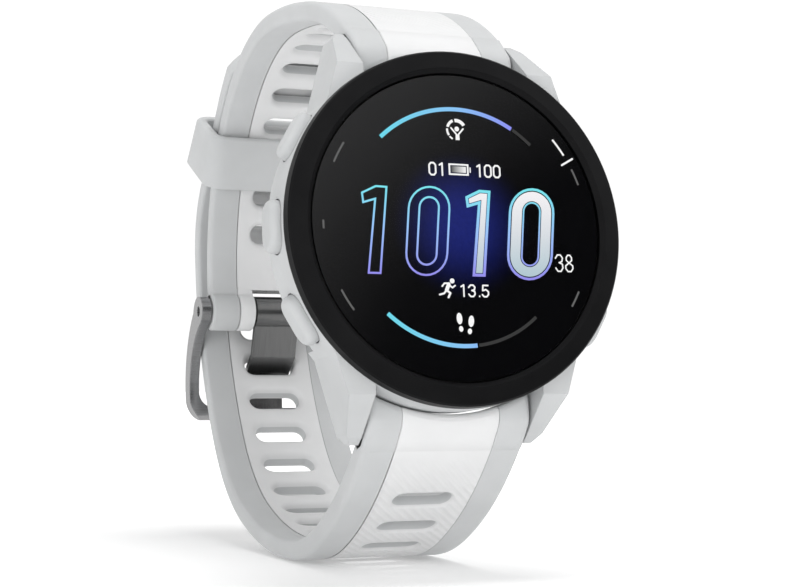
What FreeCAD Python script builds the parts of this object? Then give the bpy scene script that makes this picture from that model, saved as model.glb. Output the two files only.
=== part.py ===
import FreeCAD, Part

"""A running watch: round case with five buttons, an inner stack, and a two-part
strap that is closed by a pin buckle.

The pieces are modelled in the watch's own frame: x across the dial towards
3 o'clock, y up the dial towards 12 o'clock, z out of the dial, with z = 0 at the
bezel's outer rim. ROW_FRAME then stands the watch up, leaning slightly back: the
dial faces -Y, 12 o'clock points to +Z, and the origin is the centre of the wrist
opening.
"""

import math
import os

import Sketcher
from FreeCAD import Placement, Rotation, Vector

doc = FreeCAD.newDocument("running_watch")
sheet = doc.addObject("Spreadsheet::Sheet", "sizes")

# Driving dimensions in millimetres and degrees. A level is a height z on the dial axis.
DIMENSIONS = [
    ("wrist_centre_depth", 41.0),
    ("face_tilt", 6.14),
    # case, seen from the front
    ("case_radius", 21.5),
    ("cavity_radius", 19.2),
    ("bezel_rim_radius", 21.25),
    ("bezel_crown_radius", 19.2),
    ("bezel_opening_radius", 18.65),
    ("bezel_ledge_radius", 17.2),
    ("bezel_skirt_radius", 20.2),
    ("bezel_seat_radius", 20.25),
    ("glass_radius", 18.55),
    ("display_radius", 16.9),
    ("chassis_radius", 18.1),
    ("board_radius", 16.2),
    # levels from the front to the back
    ("crown_level", 0.45),
    ("rim_level", 0.0),
    ("glass_top_level", -0.12),
    ("glass_bottom_level", -1.25),
    ("ledge_level", -1.45),
    ("bezel_level", -1.5),
    ("display_bottom_level", -2.35),
    ("skirt_level", -2.6),
    ("seat_level", -2.65),
    ("chassis_level", -3.2),
    ("board_top_level", -3.4),
    ("board_bottom_level", -4.2),
    ("button_level", -4.3),
    ("chip_level", -5.0),
    ("battery_top_level", -5.3),
    ("bar_level", -8.5),
    ("battery_bottom_level", -8.3),
    ("cover_top_level", -8.6),
    ("case_level", -9.4),
    # back cover and sensor
    ("cover_radius", 20.3),
    ("dome_radius", 10.4),
    ("window_radius", 9.0),
    ("window_ledge_radius", 7.9),
    ("cover_rim_level", -9.35),
    ("cover_face_level", -10.05),
    ("dome_level", -11.2),
    ("window_ledge_level", -10.3),
    ("window_level", -11.6),
    ("screw_circle_radius", 17.3),
    ("screw_radius", 0.6),
    ("screw_head_radius", 1.2),
    # buttons
    ("button_length", 6.3),
    ("button_height", 3.9),
    ("button_face_radius", 22.75),
    ("button_base_radius", 20.85),
    ("button_gap", 0.14),
    ("pocket_floor_radius", 20.2),
    ("gland_floor_radius", 19.5),
    ("stem_radius", 0.9),
    ("stem_end_radius", 18.6),
    ("switch_top_radius", 18.0),
    # lugs and quick-release bars
    ("lug_inner_width", 10.75),
    ("bar_offset", 24.0),
    ("bar_tube_radius", 0.75),
    ("bar_tip_radius", 0.4),
    ("bar_reach", 11.4),
    # straps
    ("strap_half_width", 10.5),
    ("strap_thickness", 2.6),
    ("inlay_half_width", 6.28),
    ("slot_half_length", 3.94),
    ("slot_width", 2.7),
    ("strap_start_offset", 21.5),
    ("strap_start_level", -7.3),
    ("strap_start_angle", 41.7),
    # buckle
    ("pin_radius", 0.75),
    ("barrel_radius", 2.9),
    ("buckle_arm_thickness", 1.5),
    ("tang_half_width", 3.5),
    ("tang_thickness", 0.95),
    ("running_gap", 0.04),
]

for row, (alias, value) in enumerate(DIMENSIONS, start=1):
    sheet.set(f"A{row}", alias)
    sheet.set(f"B{row}", str(value))
    sheet.setAlias(f"B{row}", alias)
doc.recompute()

ROW_FRAME = Placement(
    Vector(), Rotation(Vector(1, 0, 0), 90 - sheet.face_tilt)
) * Placement(Vector(0, 0, sheet.wrist_centre_depth), Rotation())
TOWARDS_X = Rotation(Vector(0, 1, 0), 90)
BUTTON_ANGLES = {"light": 150, "up": 180, "down": 210, "start": 30, "back": 330}
SCREW_ANGLES = (45, 135, 225, 315)
SIDES = {"upper": 1, "lower": -1}

nodes = []


def size(coordinate):
    """Number behind an alias, an (alias, offset) pair or a plain number."""
    if isinstance(coordinate, str):
        return sheet.get(coordinate)
    if isinstance(coordinate, tuple):
        return sheet.get(coordinate[0]) + coordinate[1]
    return coordinate


def shifted(coordinate, offset):
    """The same coordinate moved by an offset, still bound to its alias."""
    if isinstance(coordinate, str):
        return (coordinate, offset)
    if isinstance(coordinate, tuple):
        return (coordinate[0], coordinate[1] + offset)
    return coordinate + offset


def formula(coordinate, factor=1):
    """Spreadsheet expression for the same thing, times a factor."""
    if isinstance(coordinate, str):
        text = f"sizes.{coordinate}"
    elif isinstance(coordinate, tuple):
        text = f"sizes.{coordinate[0]} + {coordinate[1]}"
    else:
        text = f"{coordinate}"
    return f"({text}) * {factor}"


def as_node(obj, label):
    """Makes an object a piece of the watch and stands it in the row frame."""
    obj.Label = label
    obj.Placement = ROW_FRAME * obj.Placement
    nodes.append(obj)
    return obj


# --- primitives bound to the sheet -------------------------------------------


def cylinder(name, radius, bottom, top, centre=(0, 0)):
    """Cylinder along the dial axis between two levels."""
    obj = doc.addObject("Part::Cylinder", name)
    obj.setExpression("Radius", formula(radius))
    obj.setExpression("Height", f"{formula(top)} - {formula(bottom)}")
    obj.Placement = Placement(Vector(centre[0], centre[1], size(bottom)), Rotation())
    return obj


def rod(name, radius, start, end, depth=0, level=0):
    """Cylinder along x between two places, at y = depth and z = level."""
    obj = doc.addObject("Part::Cylinder", name)
    obj.setExpression("Radius", formula(radius))
    obj.setExpression("Height", f"{formula(end)} - {formula(start)}")
    obj.Placement = Placement(Vector(size(start), size(depth), size(level)), TOWARDS_X)
    return obj


def block(name, centre, half, bottom, top):
    """Box between two levels, with a plan centre and half sizes."""
    obj = doc.addObject("Part::Box", name)
    obj.setExpression("Length", formula(half[0], 2))
    obj.setExpression("Width", formula(half[1], 2))
    obj.setExpression("Height", f"{formula(top)} - {formula(bottom)}")
    corner = Vector(centre[0] - size(half[0]), centre[1] - size(half[1]), size(bottom))
    obj.Placement = Placement(corner, Rotation())
    return obj


def cut(name, base, tools):
    """Base minus one tool or a list of tools."""
    tool = tools if not isinstance(tools, list) else fuse(f"{name}_tools", tools)
    obj = doc.addObject("Part::Cut", name)
    obj.Base = base
    obj.Tool = tool
    return obj


def fuse(name, shapes):
    """Union of a list; a single member is returned as it is."""
    if len(shapes) == 1:
        return shapes[0]
    obj = doc.addObject("Part::MultiFuse", name)
    obj.Shapes = shapes
    obj.Refine = True
    return obj


def group(name, members):
    """Identical or related solids that share one node."""
    obj = doc.addObject("Part::Compound", name)
    obj.Links = members
    return obj


def turned(obj, angle):
    """Turns an object about the dial axis."""
    obj.Placement = Placement(Vector(), Rotation(Vector(0, 0, 1), angle)) * obj.Placement
    return obj


def ring(name, inner, outer, bottom, top):
    """Flat ring between two radii and two levels."""
    hole = cylinder(f"{name}_hole", inner, shifted(bottom, -1), shifted(top, 1))
    return cut(name, cylinder(f"{name}_disc", outer, bottom, top), hole)


def revolved(name, outline):
    """PartDesign body turned about the dial axis; outline is (radius, level) pairs."""
    body = doc.addObject("PartDesign::Body", name)
    plane = next(f for f in body.Origin.OriginFeatures if f.Role == "XZ_Plane")
    sketch = body.newObject("Sketcher::SketchObject", f"{name}_profile")
    sketch.AttachmentSupport = [(plane, "")]
    sketch.MapMode = "FlatFace"
    corners = [Vector(size(radius), size(level), 0) for radius, level in outline]
    count = len(corners)
    for i in range(count):
        sketch.addGeometry(Part.LineSegment(corners[i], corners[(i + 1) % count]))
    for i in range(count):
        sketch.addConstraint(Sketcher.Constraint("Coincident", i, 2, (i + 1) % count, 1))
    for i, (radius, level) in enumerate(outline):
        for kind, coordinate, place in (
            ("DistanceX", radius, corners[i].x),
            ("DistanceY", level, corners[i].y),
        ):
            index = sketch.addConstraint(Sketcher.Constraint(kind, -1, 1, i, 1, place))
            if not isinstance(coordinate, (int, float)):
                sketch.setExpression(f"Constraints[{index}]", formula(coordinate))
    turn = body.newObject("PartDesign::Revolution", f"{name}_turn")
    turn.Profile = sketch
    turn.ReferenceAxis = (sketch, ["V_Axis"])
    turn.Angle = 360
    return body


def pill(name, length, height, near, far, grow=0):
    """Stadium-shaped prism pointing along x, centred at y = 0 on the button level."""
    half_height = size(height) / 2 + grow
    half_straight = (size(length) - size(height)) / 2
    middle = doc.addObject("Part::Box", f"{name}_middle")
    middle.setExpression("Length", f"{formula(far)} - {formula(near)}")
    middle.setExpression("Width", f"{formula(length)} - {formula(height)}")
    middle.setExpression("Height", f"{formula(height)} + {2 * grow}")
    corner = Vector(size(near), -half_straight, size("button_level") - half_height)
    middle.Placement = Placement(corner, Rotation())
    members = [middle]
    for side in (-1, 1):
        end = rod(f"{name}_end_{side + 1}", 1, near, far, side * half_straight, "button_level")
        end.setExpression("Radius", f"{formula(height, 0.5)} + {grow}")
        members.append(end)
    return fuse(name, members)


# --- case ---------------------------------------------------------------------


def lug(name, side, hand):
    """One tapered horn: a side profile across the dial met by its plan outline."""
    reach = size("bar_offset")
    profile = [
        (-14.0, -1.7),
        (-19.7, -1.9),
        (-20.4, -2.7),
        (-24.3, -7.1),
        (-25.1, -8.3),
        (-24.9, -9.4),
        (-24.0, -10.1),
        (-14.0, -9.4),
    ]
    start = size("lug_inner_width")
    side_face = Part.Face(
        Part.makePolygon([Vector(start, y, z) for y, z in profile + profile[:1]])
    )
    side_prism = side_face.extrude(Vector(6, 0, 0))
    plan = [(start, -13.0), (17.4, -12.6), (15.5, -15.0), (12.8, -reach), (11.8, -reach - 1.2),
            (start, -reach - 1.2)]
    plan_face = Part.Face(Part.makePolygon([Vector(x, y, -11) for x, y in plan + plan[:1]]))
    horn = side_prism.common(plan_face.extrude(Vector(0, 0, 11)))
    horn = horn.cut(Part.makeCylinder(size("case_radius") - 0.6, 14, Vector(0, 0, -12)))
    obj = doc.addObject("Part::Feature", name)
    if side > 0:
        horn = horn.mirror(Vector(), Vector(0, 1, 0))
    if hand < 0:
        horn = horn.mirror(Vector(), Vector(1, 0, 0))
    obj.Shape = horn
    return obj


def make_case():
    """Round middle case with four lugs, button pockets, bosses and bar holes."""
    wall = revolved(
        "case_wall",
        [
            ("bezel_seat_radius", "bezel_level"),
            ("case_radius", "bezel_level"),
            (("case_radius", 0.08), ("bezel_level", -2.8)),
            ("case_radius", ("case_level", 2.0)),
            (("case_radius", -0.7), ("case_level", 0.35)),
            (("case_radius", -1.0), "case_level"),
            (("cover_radius", 0.05), "case_level"),
            (("cover_radius", 0.05), "cover_top_level"),
            ("cavity_radius", "cover_top_level"),
            ("cavity_radius", "seat_level"),
            ("bezel_seat_radius", "seat_level"),
        ],
    )
    solids = [wall]
    on_circle = (size("screw_circle_radius"), 0)
    for angle in SCREW_ANGLES:
        boss = cylinder(f"boss_{angle}", 2.1, "cover_top_level", "battery_top_level", on_circle)
        solids.append(turned(boss, angle))
    for name, side in SIDES.items():
        for hand in (-1, 1):
            solids.append(lug(f"lug_{name}_{hand + 1}", side, hand))
    tools = []
    for angle in SCREW_ANGLES:
        hole = cylinder(f"boss_hole_{angle}", ("screw_radius", 0.01), ("cover_top_level", -0.5),
                        ("battery_top_level", -0.4), on_circle)
        tools.append(turned(hole, angle))
    for name, angle in BUTTON_ANGLES.items():
        pocket = pill(f"{name}_pocket", "button_length", "button_height", "pocket_floor_radius", 24,
                      size("button_gap"))
        gland = rod(f"{name}_gland", 1.5, "gland_floor_radius", ("pocket_floor_radius", 0.2), 0,
                    "button_level")
        bore = rod(f"{name}_bore", ("stem_radius", 0.05), 18, ("gland_floor_radius", 0.2), 0,
                   "button_level")
        tools.extend(turned(tool, angle) for tool in (pocket, gland, bore))
    for name, side in SIDES.items():
        place = side * size("bar_offset")
        hole = rod(f"bar_hole_{name}", ("bar_tip_radius", 0.05), ("bar_reach", -23.0),
                   ("bar_reach", 0.2), place, "bar_level")
        tools.append(hole)
    groove_outer = cylinder("gasket_groove_outer", 20.15, ("cover_top_level", -0.1),
                            ("cover_top_level", 0.45))
    groove_inner = cylinder("gasket_groove_inner", 19.45, ("cover_top_level", -0.2),
                            ("cover_top_level", 0.6))
    tools.append(cut("gasket_groove", groove_outer, groove_inner))
    return cut("mid_case_shape", fuse("case_solids", solids), tools)


def make_front():
    """Bezel, glass, gasket and display."""
    bezel = revolved(
        "bezel_shape",
        [
            ("bezel_ledge_radius", "skirt_level"),
            ("bezel_skirt_radius", "skirt_level"),
            ("bezel_skirt_radius", "bezel_level"),
            ("case_radius", "bezel_level"),
            ("case_radius", ("bezel_level", 0.2)),
            (("bezel_rim_radius", 0.12), ("rim_level", -0.25)),
            (("bezel_rim_radius", -0.1), "rim_level"),
            ("bezel_crown_radius", "crown_level"),
            (("bezel_crown_radius", -0.12), ("crown_level", -0.02)),
            ("bezel_opening_radius", ("glass_top_level", 0.02)),
            ("bezel_opening_radius", "ledge_level"),
            ("bezel_ledge_radius", "ledge_level"),
        ],
    )
    as_node(bezel, "bezel")
    gasket = ring("glass_gasket_shape", ("bezel_ledge_radius", 0.05), ("glass_radius", -0.05),
                  "ledge_level", "glass_bottom_level")
    as_node(gasket, "glass_gasket")
    glass = revolved(
        "front_glass_shape",
        [
            (0, "glass_bottom_level"),
            ("glass_radius", "glass_bottom_level"),
            ("glass_radius", ("glass_top_level", -0.15)),
            (("glass_radius", -0.2), "glass_top_level"),
            (0, "glass_top_level"),
        ],
    )
    as_node(glass, "front_glass")
    as_node(cylinder("display_shape", "display_radius", "display_bottom_level", "glass_bottom_level"),
            "display_panel")


def make_inside():
    """Chassis, boards, battery, antenna, motor and sounder."""
    plate = cylinder("chassis_plate", "chassis_radius", "chassis_level", "seat_level")
    pad = cylinder("chassis_pad", 16.4, "seat_level", ("display_bottom_level", -0.03))
    posts = []
    for angle in (90, 210, 330):
        post = cylinder(f"chassis_post_{angle}", 0.8, "board_top_level", "chassis_level", (14.6, 0))
        posts.append(turned(post, angle))
    ribbon_gap = block("chassis_ribbon_gap", (0, -13.5), (4.5, 0.7), -4, -2)
    chassis = cut("chassis_shape", fuse("chassis_solids", [plate, pad] + posts), ribbon_gap)
    as_node(chassis, "inner_frame")

    board = cylinder("board_disc", "board_radius", "board_bottom_level", "board_top_level")
    notch = block("board_ribbon_notch", (0, -13.5), (4.7, 0.8), -5, -3)
    as_node(cut("board_shape", board, notch), "main_board")

    ribbon_parts = [
        block("ribbon_riser", (0, -13.5), (4.0, 0.1), -4.35, ("display_bottom_level", -0.02)),
        block("ribbon_tail", (0, -11.7), (4.0, 1.9), -4.35, ("board_bottom_level", -0.01)),
    ]
    as_node(fuse("ribbon_shape", ribbon_parts), "display_ribbon")

    chips = []
    for name, centre, half, drop in (
        ("processor", (-4.5, 3.5), (3.6, 3.6), 0.0),
        ("radio", (5.5, 5.0), (2.8, 3.2), 0.1),
        ("memory", (5.6, -2.6), (2.4, 1.9), 0.15),
        ("charger", (-7.5, -5.2), (1.6, 1.6), 0.2),
        ("motion", (-1.6, -5.0), (1.3, 1.5), 0.2),
        ("altimeter", (10.4, -6.0), (1.1, 1.1), 0.0),
    ):
        chips.append(block(f"chip_{name}", centre, half, ("chip_level", drop), "board_bottom_level"))
    as_node(group("chip_group", chips), "board_components")

    outer = cylinder("antenna_outer", 19.0, -3.9, "seat_level")
    outer.Angle = 70
    outer.Placement.Rotation = Rotation(Vector(0, 0, 1), 55)
    inner = cylinder("antenna_inner", 18.3, -4.5, -2)
    as_node(cut("antenna_shape", outer, inner), "gps_antenna")

    cell = block("battery_block", (0, 0), (10.0, 9.6), "battery_bottom_level", "battery_top_level")
    doc.recompute()
    rounded = doc.addObject("Part::Fillet", "battery_shape")
    rounded.Base = cell
    rounded.Edges = [
        (number, 1.2, 1.2)
        for number, edge in enumerate(cell.Shape.Edges, start=1)
        if abs(edge.tangentAt(0).z) > 0.9
    ]
    as_node(rounded, "battery")

    motor = cylinder("motor_can", 3.7, -7.9, "battery_top_level", (14.1, 0))
    as_node(motor, "vibration_motor")
    sounder = cylinder("sounder_disc", 3.1, -6.6, "battery_top_level", (-13.4, 0))
    as_node(sounder, "beeper")


def make_back():
    """Back cover with its gasket, screws, heart-rate window and charging socket."""
    cover = revolved(
        "cover_turned",
        [
            ("window_ledge_radius", ("cover_top_level", -0.85)),
            (12.4, ("cover_top_level", -0.7)),
            (13.6, "cover_top_level"),
            ("cover_radius", "cover_top_level"),
            ("cover_radius", "cover_rim_level"),
            (("cover_radius", -0.6), ("cover_face_level", 0.25)),
            (14.2, "cover_face_level"),
            ("dome_radius", ("dome_level", 0.12)),
            (("window_radius", 0.05), "dome_level"),
            (("window_radius", 0.05), "window_ledge_level"),
            ("window_ledge_radius", "window_ledge_level"),
        ],
    )
    tools = [block("socket_opening", (0, -14.6), (4.2, 1.8), -12, -8)]
    on_circle = (size("screw_circle_radius"), 0)
    for angle in SCREW_ANGLES:
        recess = cylinder(f"screw_recess_{angle}", ("screw_head_radius", 0.05), -10.5, -9.2, on_circle)
        hole = cylinder(f"screw_hole_{angle}", ("screw_radius", 0.1), -10.5, -8, on_circle)
        tools.extend([turned(recess, angle), turned(hole, angle)])
    as_node(cut("back_cover_shape", cover, tools), "back_cover")

    gasket = ring("cover_gasket_shape", 19.5, 20.1, "cover_top_level", ("cover_top_level", 0.4))
    as_node(gasket, "back_gasket")

    screws = []
    for angle in SCREW_ANGLES:
        head = cylinder(f"screw_head_{angle}", "screw_head_radius", -9.85, -9.2)
        shank = cylinder(f"screw_shank_{angle}", "screw_radius", -9.3, -6.2)
        recess = cylinder(f"screw_drive_{angle}", 0.55, -10, -9.5)
        screw = cut(f"screw_{angle}", fuse(f"screw_body_{angle}", [head, shank]), recess)
        screw.Placement.Base = Vector(size("screw_circle_radius"), 0, 0)
        screws.append(turned(screw, angle))
    as_node(group("screw_group", screws), "back_screws")

    board = cylinder("sensor_board_disc", 8.6, -9.35, -8.75)
    as_node(board, "sensor_board")
    emitters = [cylinder("emitter_centre", 1.1, -10.1, -9.35)]
    for step in range(6):
        diode = block(f"emitter_{step}", (4.9, 0), (0.9, 0.6), -10.0, -9.35)
        emitters.append(turned(diode, 60 * step))
    as_node(group("emitter_group", emitters), "sensor_emitters")
    window = revolved(
        "sensor_window_shape",
        [
            (0, "window_ledge_level"),
            ("window_radius", "window_ledge_level"),
            ("window_radius", ("dome_level", 0.08)),
            (8.4, ("dome_level", -0.16)),
            (6.2, ("window_level", 0.1)),
            (3.2, "window_level"),
            (0, "window_level"),
        ],
    )
    as_node(window, "sensor_window")

    shell = block("socket_shell", (0, -14.6), (4.15, 1.75), -9.95, -6.9)
    recess = block("socket_recess", (0, -14.6), (3.6, 1.15), -11, -8.4)
    holes = [
        cylinder(f"contact_hole_{step}", 0.36, -9, -6, (-2.25 + 1.5 * step, -14.6))
        for step in range(4)
    ]
    as_node(cut("socket_shape", shell, [recess] + holes), "charging_socket")
    contacts = [
        cylinder(f"contact_{step}", 0.35, -9.3, -6.6, (-2.25 + 1.5 * step, -14.6))
        for step in range(4)
    ]
    as_node(group("contact_group", contacts), "charging_contacts")


# --- buttons --------------------------------------------------------------------


def make_buttons():
    """Five push buttons, each a capped stem held by a clip, over a dome switch."""
    seals = []
    switches = []
    for name, angle in BUTTON_ANGLES.items():
        head = pill(f"{name}_head", "button_length", "button_height", "button_base_radius",
                    "button_face_radius")
        doc.recompute()
        face = size("button_face_radius")
        domed = doc.addObject("Part::Fillet", f"{name}_domed")
        domed.Base = head
        domed.Edges = [
            (number, 0.85, 0.85)
            for number, edge in enumerate(head.Shape.Edges, start=1)
            if abs(edge.BoundBox.XMin - face) < 0.01 and edge.BoundBox.XLength < 0.01
        ]
        stem = rod(f"{name}_stem", "stem_radius", "stem_end_radius", ("button_base_radius", 0.2), 0,
                   "button_level")
        groove_wall = rod(f"{name}_groove_wall", 1.2, 18.85, 19.1, 0, "button_level")
        groove_core = rod(f"{name}_groove_core", 0.65, 18.8, 19.15, 0, "button_level")
        groove = cut(f"{name}_groove", groove_wall, groove_core)
        button = cut(f"{name}_button_shape", fuse(f"{name}_capped_stem", [domed, stem]), groove)
        as_node(turned(button, angle), f"{name}_button")

        washer = rod(f"{name}_clip_disc", 1.4, 18.87, 19.08, 0, "button_level")
        bore = rod(f"{name}_clip_bore", 0.66, 18, 20, 0, "button_level")
        mouth = doc.addObject("Part::Box", f"{name}_clip_mouth")
        mouth.Length, mouth.Width, mouth.Height = 1, 1.1, 2
        mouth.Placement.Base = Vector(18.5, -0.55, size("button_level") - 2)
        clip = cut(f"{name}_clip_shape", washer, [bore, mouth])
        as_node(turned(clip, angle), f"{name}_button_clip")

        seal_disc = rod(f"{name}_seal_disc", 1.46, 19.55, 20.05, 0, "button_level")
        seal_bore = rod(f"{name}_seal_bore", ("stem_radius", 0.03), 19, 21, 0, "button_level")
        seals.append(turned(cut(f"{name}_seal", seal_disc, seal_bore), angle))

        base = doc.addObject("Part::Box", f"{name}_switch_base")
        base.Length, base.Width, base.Height = 1.1, 3.4, 2.2
        base.Placement.Base = Vector(16.6, -1.7, size("button_level") - 1.1)
        dome = rod(f"{name}_switch_dome", 0.75, 17.6, "switch_top_radius", 0, "button_level")
        switches.append(turned(fuse(f"{name}_switch", [base, dome]), angle))
    as_node(group("seal_group", seals), "button_seals")
    as_node(group("switch_group", switches), "button_switches")

    strips = []
    for name, start in (("left", 142), ("right", -38)):
        outer = cylinder(f"{name}_strip_outer", 16.55, -5.2, "board_top_level")
        outer.Angle = 76
        outer.Placement.Rotation = Rotation(Vector(0, 0, 1), start)
        inner = cylinder(f"{name}_strip_inner", 16.4, -6, -3)
        strips.append(cut(f"{name}_strip", outer, inner))
    as_node(group("strip_group", strips), "button_flex")


# --- strap path -------------------------------------------------------------------

# The wrist side of each strap is a chain of tangent runs from its lug. A run is an
# arc (radius, degrees turned towards the wrist) or straight (STRAIGHT, length). The
# lower strap's tail ends outside the upper strap.
STRAIGHT = 0
STRAP_RUNS = {
    "upper": [(33.7, 28.7), (78.4, 13.0), (26.5, 37.6), (30.7, 68.5)],
    "lower": [(45.0, 29.5), (26.0, 21.5), (54.0, 22.5), (28.0, 33.5), (57.0, 31.8), (12.0, 44.5),
              (STRAIGHT, 14.3), (33.6, 14.0), (29.4, 12.0)],
}


class StrapPath:
    """Tangent arcs in the (y, z) plane, measured by distance from the lug."""

    def __init__(self, which):
        side = SIDES[which]
        self.side = side
        y = side * size("strap_start_offset")
        z = size("strap_start_level")
        heading = -math.radians(size("strap_start_angle"))
        heading = heading if side > 0 else -math.pi - heading
        self.runs = []
        start = 0.0
        for radius, amount in STRAP_RUNS[which]:
            self.runs.append((start, radius, y, z, heading))
            length = amount if radius == STRAIGHT else radius * math.radians(amount)
            y, z, heading = self.travel(radius, y, z, heading, length)
            start += length
        self.length = start

    def travel(self, radius, y, z, heading, distance):
        """Place and heading after a distance along one run."""
        if radius == STRAIGHT:
            return y + distance * math.cos(heading), z + distance * math.sin(heading), heading
        centre_y = y + self.side * radius * math.sin(heading)
        centre_z = z - self.side * radius * math.cos(heading)
        heading -= self.side * distance / radius
        y = centre_y - self.side * radius * math.sin(heading)
        z = centre_z + self.side * radius * math.cos(heading)
        return y, z, heading

    def at(self, station, offset=0.0, x=0.0):
        """Point at a station, moved outwards (away from the wrist) by an offset."""
        y, z, heading = self.place(station)
        y -= self.side * offset * math.sin(heading)
        z += self.side * offset * math.cos(heading)
        return Vector(x, y, z)

    def place(self, station):
        """(y, z, heading) at a station."""
        run = next(r for r in reversed(self.runs) if station >= r[0] - 1e-9)
        start, radius, y, z, heading = run
        return self.travel(radius, y, z, heading, station - start)

    def knots(self, first, last):
        """Stations where runs meet, between two stations, ends included."""
        inner = [r[0] for r in self.runs if first + 1e-6 < r[0] < last - 1e-6]
        return [first] + inner + [last]

    def is_straight(self, station):
        """True where the strap is straight."""
        return next(r for r in reversed(self.runs) if station >= r[0] - 1e-9)[1] == STRAIGHT

    def edge(self, first, last, offset, x):
        """Edges of the curve at one offset between two stations."""
        edges = []
        knots = self.knots(first, last)
        for a, b in zip(knots, knots[1:]):
            middle = (a + b) / 2
            ends = [self.at(a, offset, x), self.at(b, offset, x)]
            if self.is_straight(middle):
                edges.append(Part.makeLine(*ends))
            else:
                edges.append(Part.Arc(ends[0], self.at(middle, offset, x), ends[1]).toShape())
        return edges

    def strip(self, first, last, low, high, half_width):
        """Solid band between two stations and two offsets, centred on x = 0."""
        x = -half_width
        edges = self.edge(first, last, low, x)
        edges.append(Part.makeLine(self.at(last, low, x), self.at(last, high, x)))
        edges.extend(reversed(self.edge(first, last, high, x)))
        edges.append(Part.makeLine(self.at(first, high, x), self.at(first, low, x)))
        face = Part.Face(Part.Wire(Part.__sortEdges__(edges)))
        return face.extrude(Vector(2 * half_width, 0, 0))

    def frame(self, station, offset=0.0):
        """Placement whose x is across, y along the strap and z outwards."""
        y, z, heading = self.place(station)
        along = Vector(0, math.cos(heading), math.sin(heading))
        across = Vector(self.side, 0, 0)
        outwards = across.cross(along)
        matrix = FreeCAD.Matrix(
            across.x, along.x, outwards.x, 0,
            across.y, along.y, outwards.y, 0,
            across.z, along.z, outwards.z, 0,
            0, 0, 0, 1,
        )
        return Placement(self.at(station, offset), Placement(matrix).Rotation)

    def slot(self, station):
        """Rounded slot right through the strap at a station."""
        radius = size("slot_width") / 2
        straight = size("slot_half_length") - radius
        height = size("strap_thickness") + 4
        middle = Part.makeBox(2 * straight, 2 * radius, height, Vector(-straight, -radius, -2))
        ends = [Part.makeCylinder(radius, height, Vector(s * straight, 0, -2)) for s in (-1, 1)]
        tool = middle.fuse(ends)
        tool.Placement = self.frame(station)
        return tool


def x_rod(radius, centre, half_length):
    """Plain cylinder along x, centred on x = 0."""
    start = Vector(-half_length, centre.y, centre.z)
    return Part.makeCylinder(radius, 2 * half_length, start, Vector(1, 0, 0))


def x_prism(points, half_width):
    """Polygon in the (y, z) plane, carried along x on both sides of x = 0."""
    corners = [Vector(-half_width, y, z) for y, z in points]
    return Part.Face(Part.makePolygon(corners + corners[:1])).extrude(Vector(2 * half_width, 0, 0))


def bound_feature(label, shape):
    """Part::Feature node holding one clean solid."""
    obj = doc.addObject("Part::Feature", f"{label}_shape")
    obj.Shape = shape.removeSplitter()
    as_node(obj, label)


UPPER = StrapPath("upper")
LOWER = StrapPath("lower")
PATHS = {"upper": UPPER, "lower": LOWER}
SLOT_PITCH = {"upper": 5.75, "lower": 5.97}
FIRST_SLOT = {"upper": 19.0, "lower": 12.1}
SLOT_COUNT = {"upper": 11, "lower": 20}
INLAY_START = 1.6
BARREL_STATION = UPPER.length - 0.5
TAIL_MARGIN = 4.0
TANG_SLOT = 12


def lug_end(path):
    """Thick end of a strap: it wraps the quick-release bar and follows the round case."""
    side = path.side
    half_width = size("strap_half_width")
    bar = Vector(0, side * size("bar_offset"), size("bar_level"))
    barrel = x_rod(2.35, bar, half_width)
    heel = x_prism(
        [
            (side * 17.0, -5.0),
            (side * 22.3, -5.0),
            (side * 23.4, -5.4),
            (side * 27.3, -9.9),
            (side * 25.3, -10.45),
            (side * 22.3, -9.7),
            (side * 21.4, -8.6),
            (side * 17.0, -8.6),
        ],
        half_width,
    )
    clear_of_case = Part.makeCylinder(size("case_radius") + 0.2, 14, Vector(0, 0, -13))
    return barrel.fuse(heel).cut(clear_of_case)


def bar_cavity(path):
    """Hole for the bar and a window for its release lever."""
    bar = Vector(0, path.side * size("bar_offset"), size("bar_level"))
    hole = x_rod(size("bar_tube_radius") + size("running_gap"), bar, 12)
    window = Part.makeBox(4.6, 2.2, 6, Vector(4.6, bar.y - 1.1, bar.z - 6))
    return hole.fuse(window)


def make_straps():
    """Two grey straps with white centre inlays and rows of slots."""
    half_width = size("strap_half_width")
    thickness = size("strap_thickness")
    inlay_width = size("inlay_half_width")
    for which, path in PATHS.items():
        last = BARREL_STATION if which == "upper" else path.length
        inlay_last = last if which == "upper" else last - TAIL_MARGIN
        band = path.strip(0, last, 0, thickness, half_width).fuse(lug_end(path))
        inlay = path.strip(INLAY_START, inlay_last, 0, thickness, inlay_width)
        cavity = bar_cavity(path)
        if which == "upper":
            pin = barrel_centre()
            tang_notch = Part.makeBox(
                2 * size("tang_half_width") + 0.6, 7.2, 8.0,
                Vector(-size("tang_half_width") - 0.3, pin.y - 4.1, pin.z - 4.2))
            middle = x_rod(size("barrel_radius"), pin, inlay_width)
            pin_hole = x_rod(size("pin_radius") + 0.01, pin, 14)
            band = band.fuse(x_rod(size("barrel_radius"), pin, half_width)).cut(middle).cut(pin_hole)
            inlay = inlay.fuse(middle).cut(tang_notch).cut(pin_hole)
        else:
            tip = tail_tip_tool(path)
            band = band.cut(tip)
        channel = path.strip(INLAY_START, inlay_last, -3, thickness + 3, inlay_width)
        lug_solid = lug_end(path).cut(path.strip(0, 12, 0, thickness + 3, half_width + 1))
        band = band.cut(channel).fuse(lug_solid).cut(cavity)
        slots = [
            path.slot(FIRST_SLOT[which] + SLOT_PITCH[which] * step)
            for step in range(SLOT_COUNT[which])
        ]
        inlay = inlay.cut(cavity).cut(lug_solid)
        for slot in slots:
            inlay = inlay.cut(slot)
        bound_feature(f"{which}_strap", band)
        bound_feature(f"{which}_strap_inlay", inlay)


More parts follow.
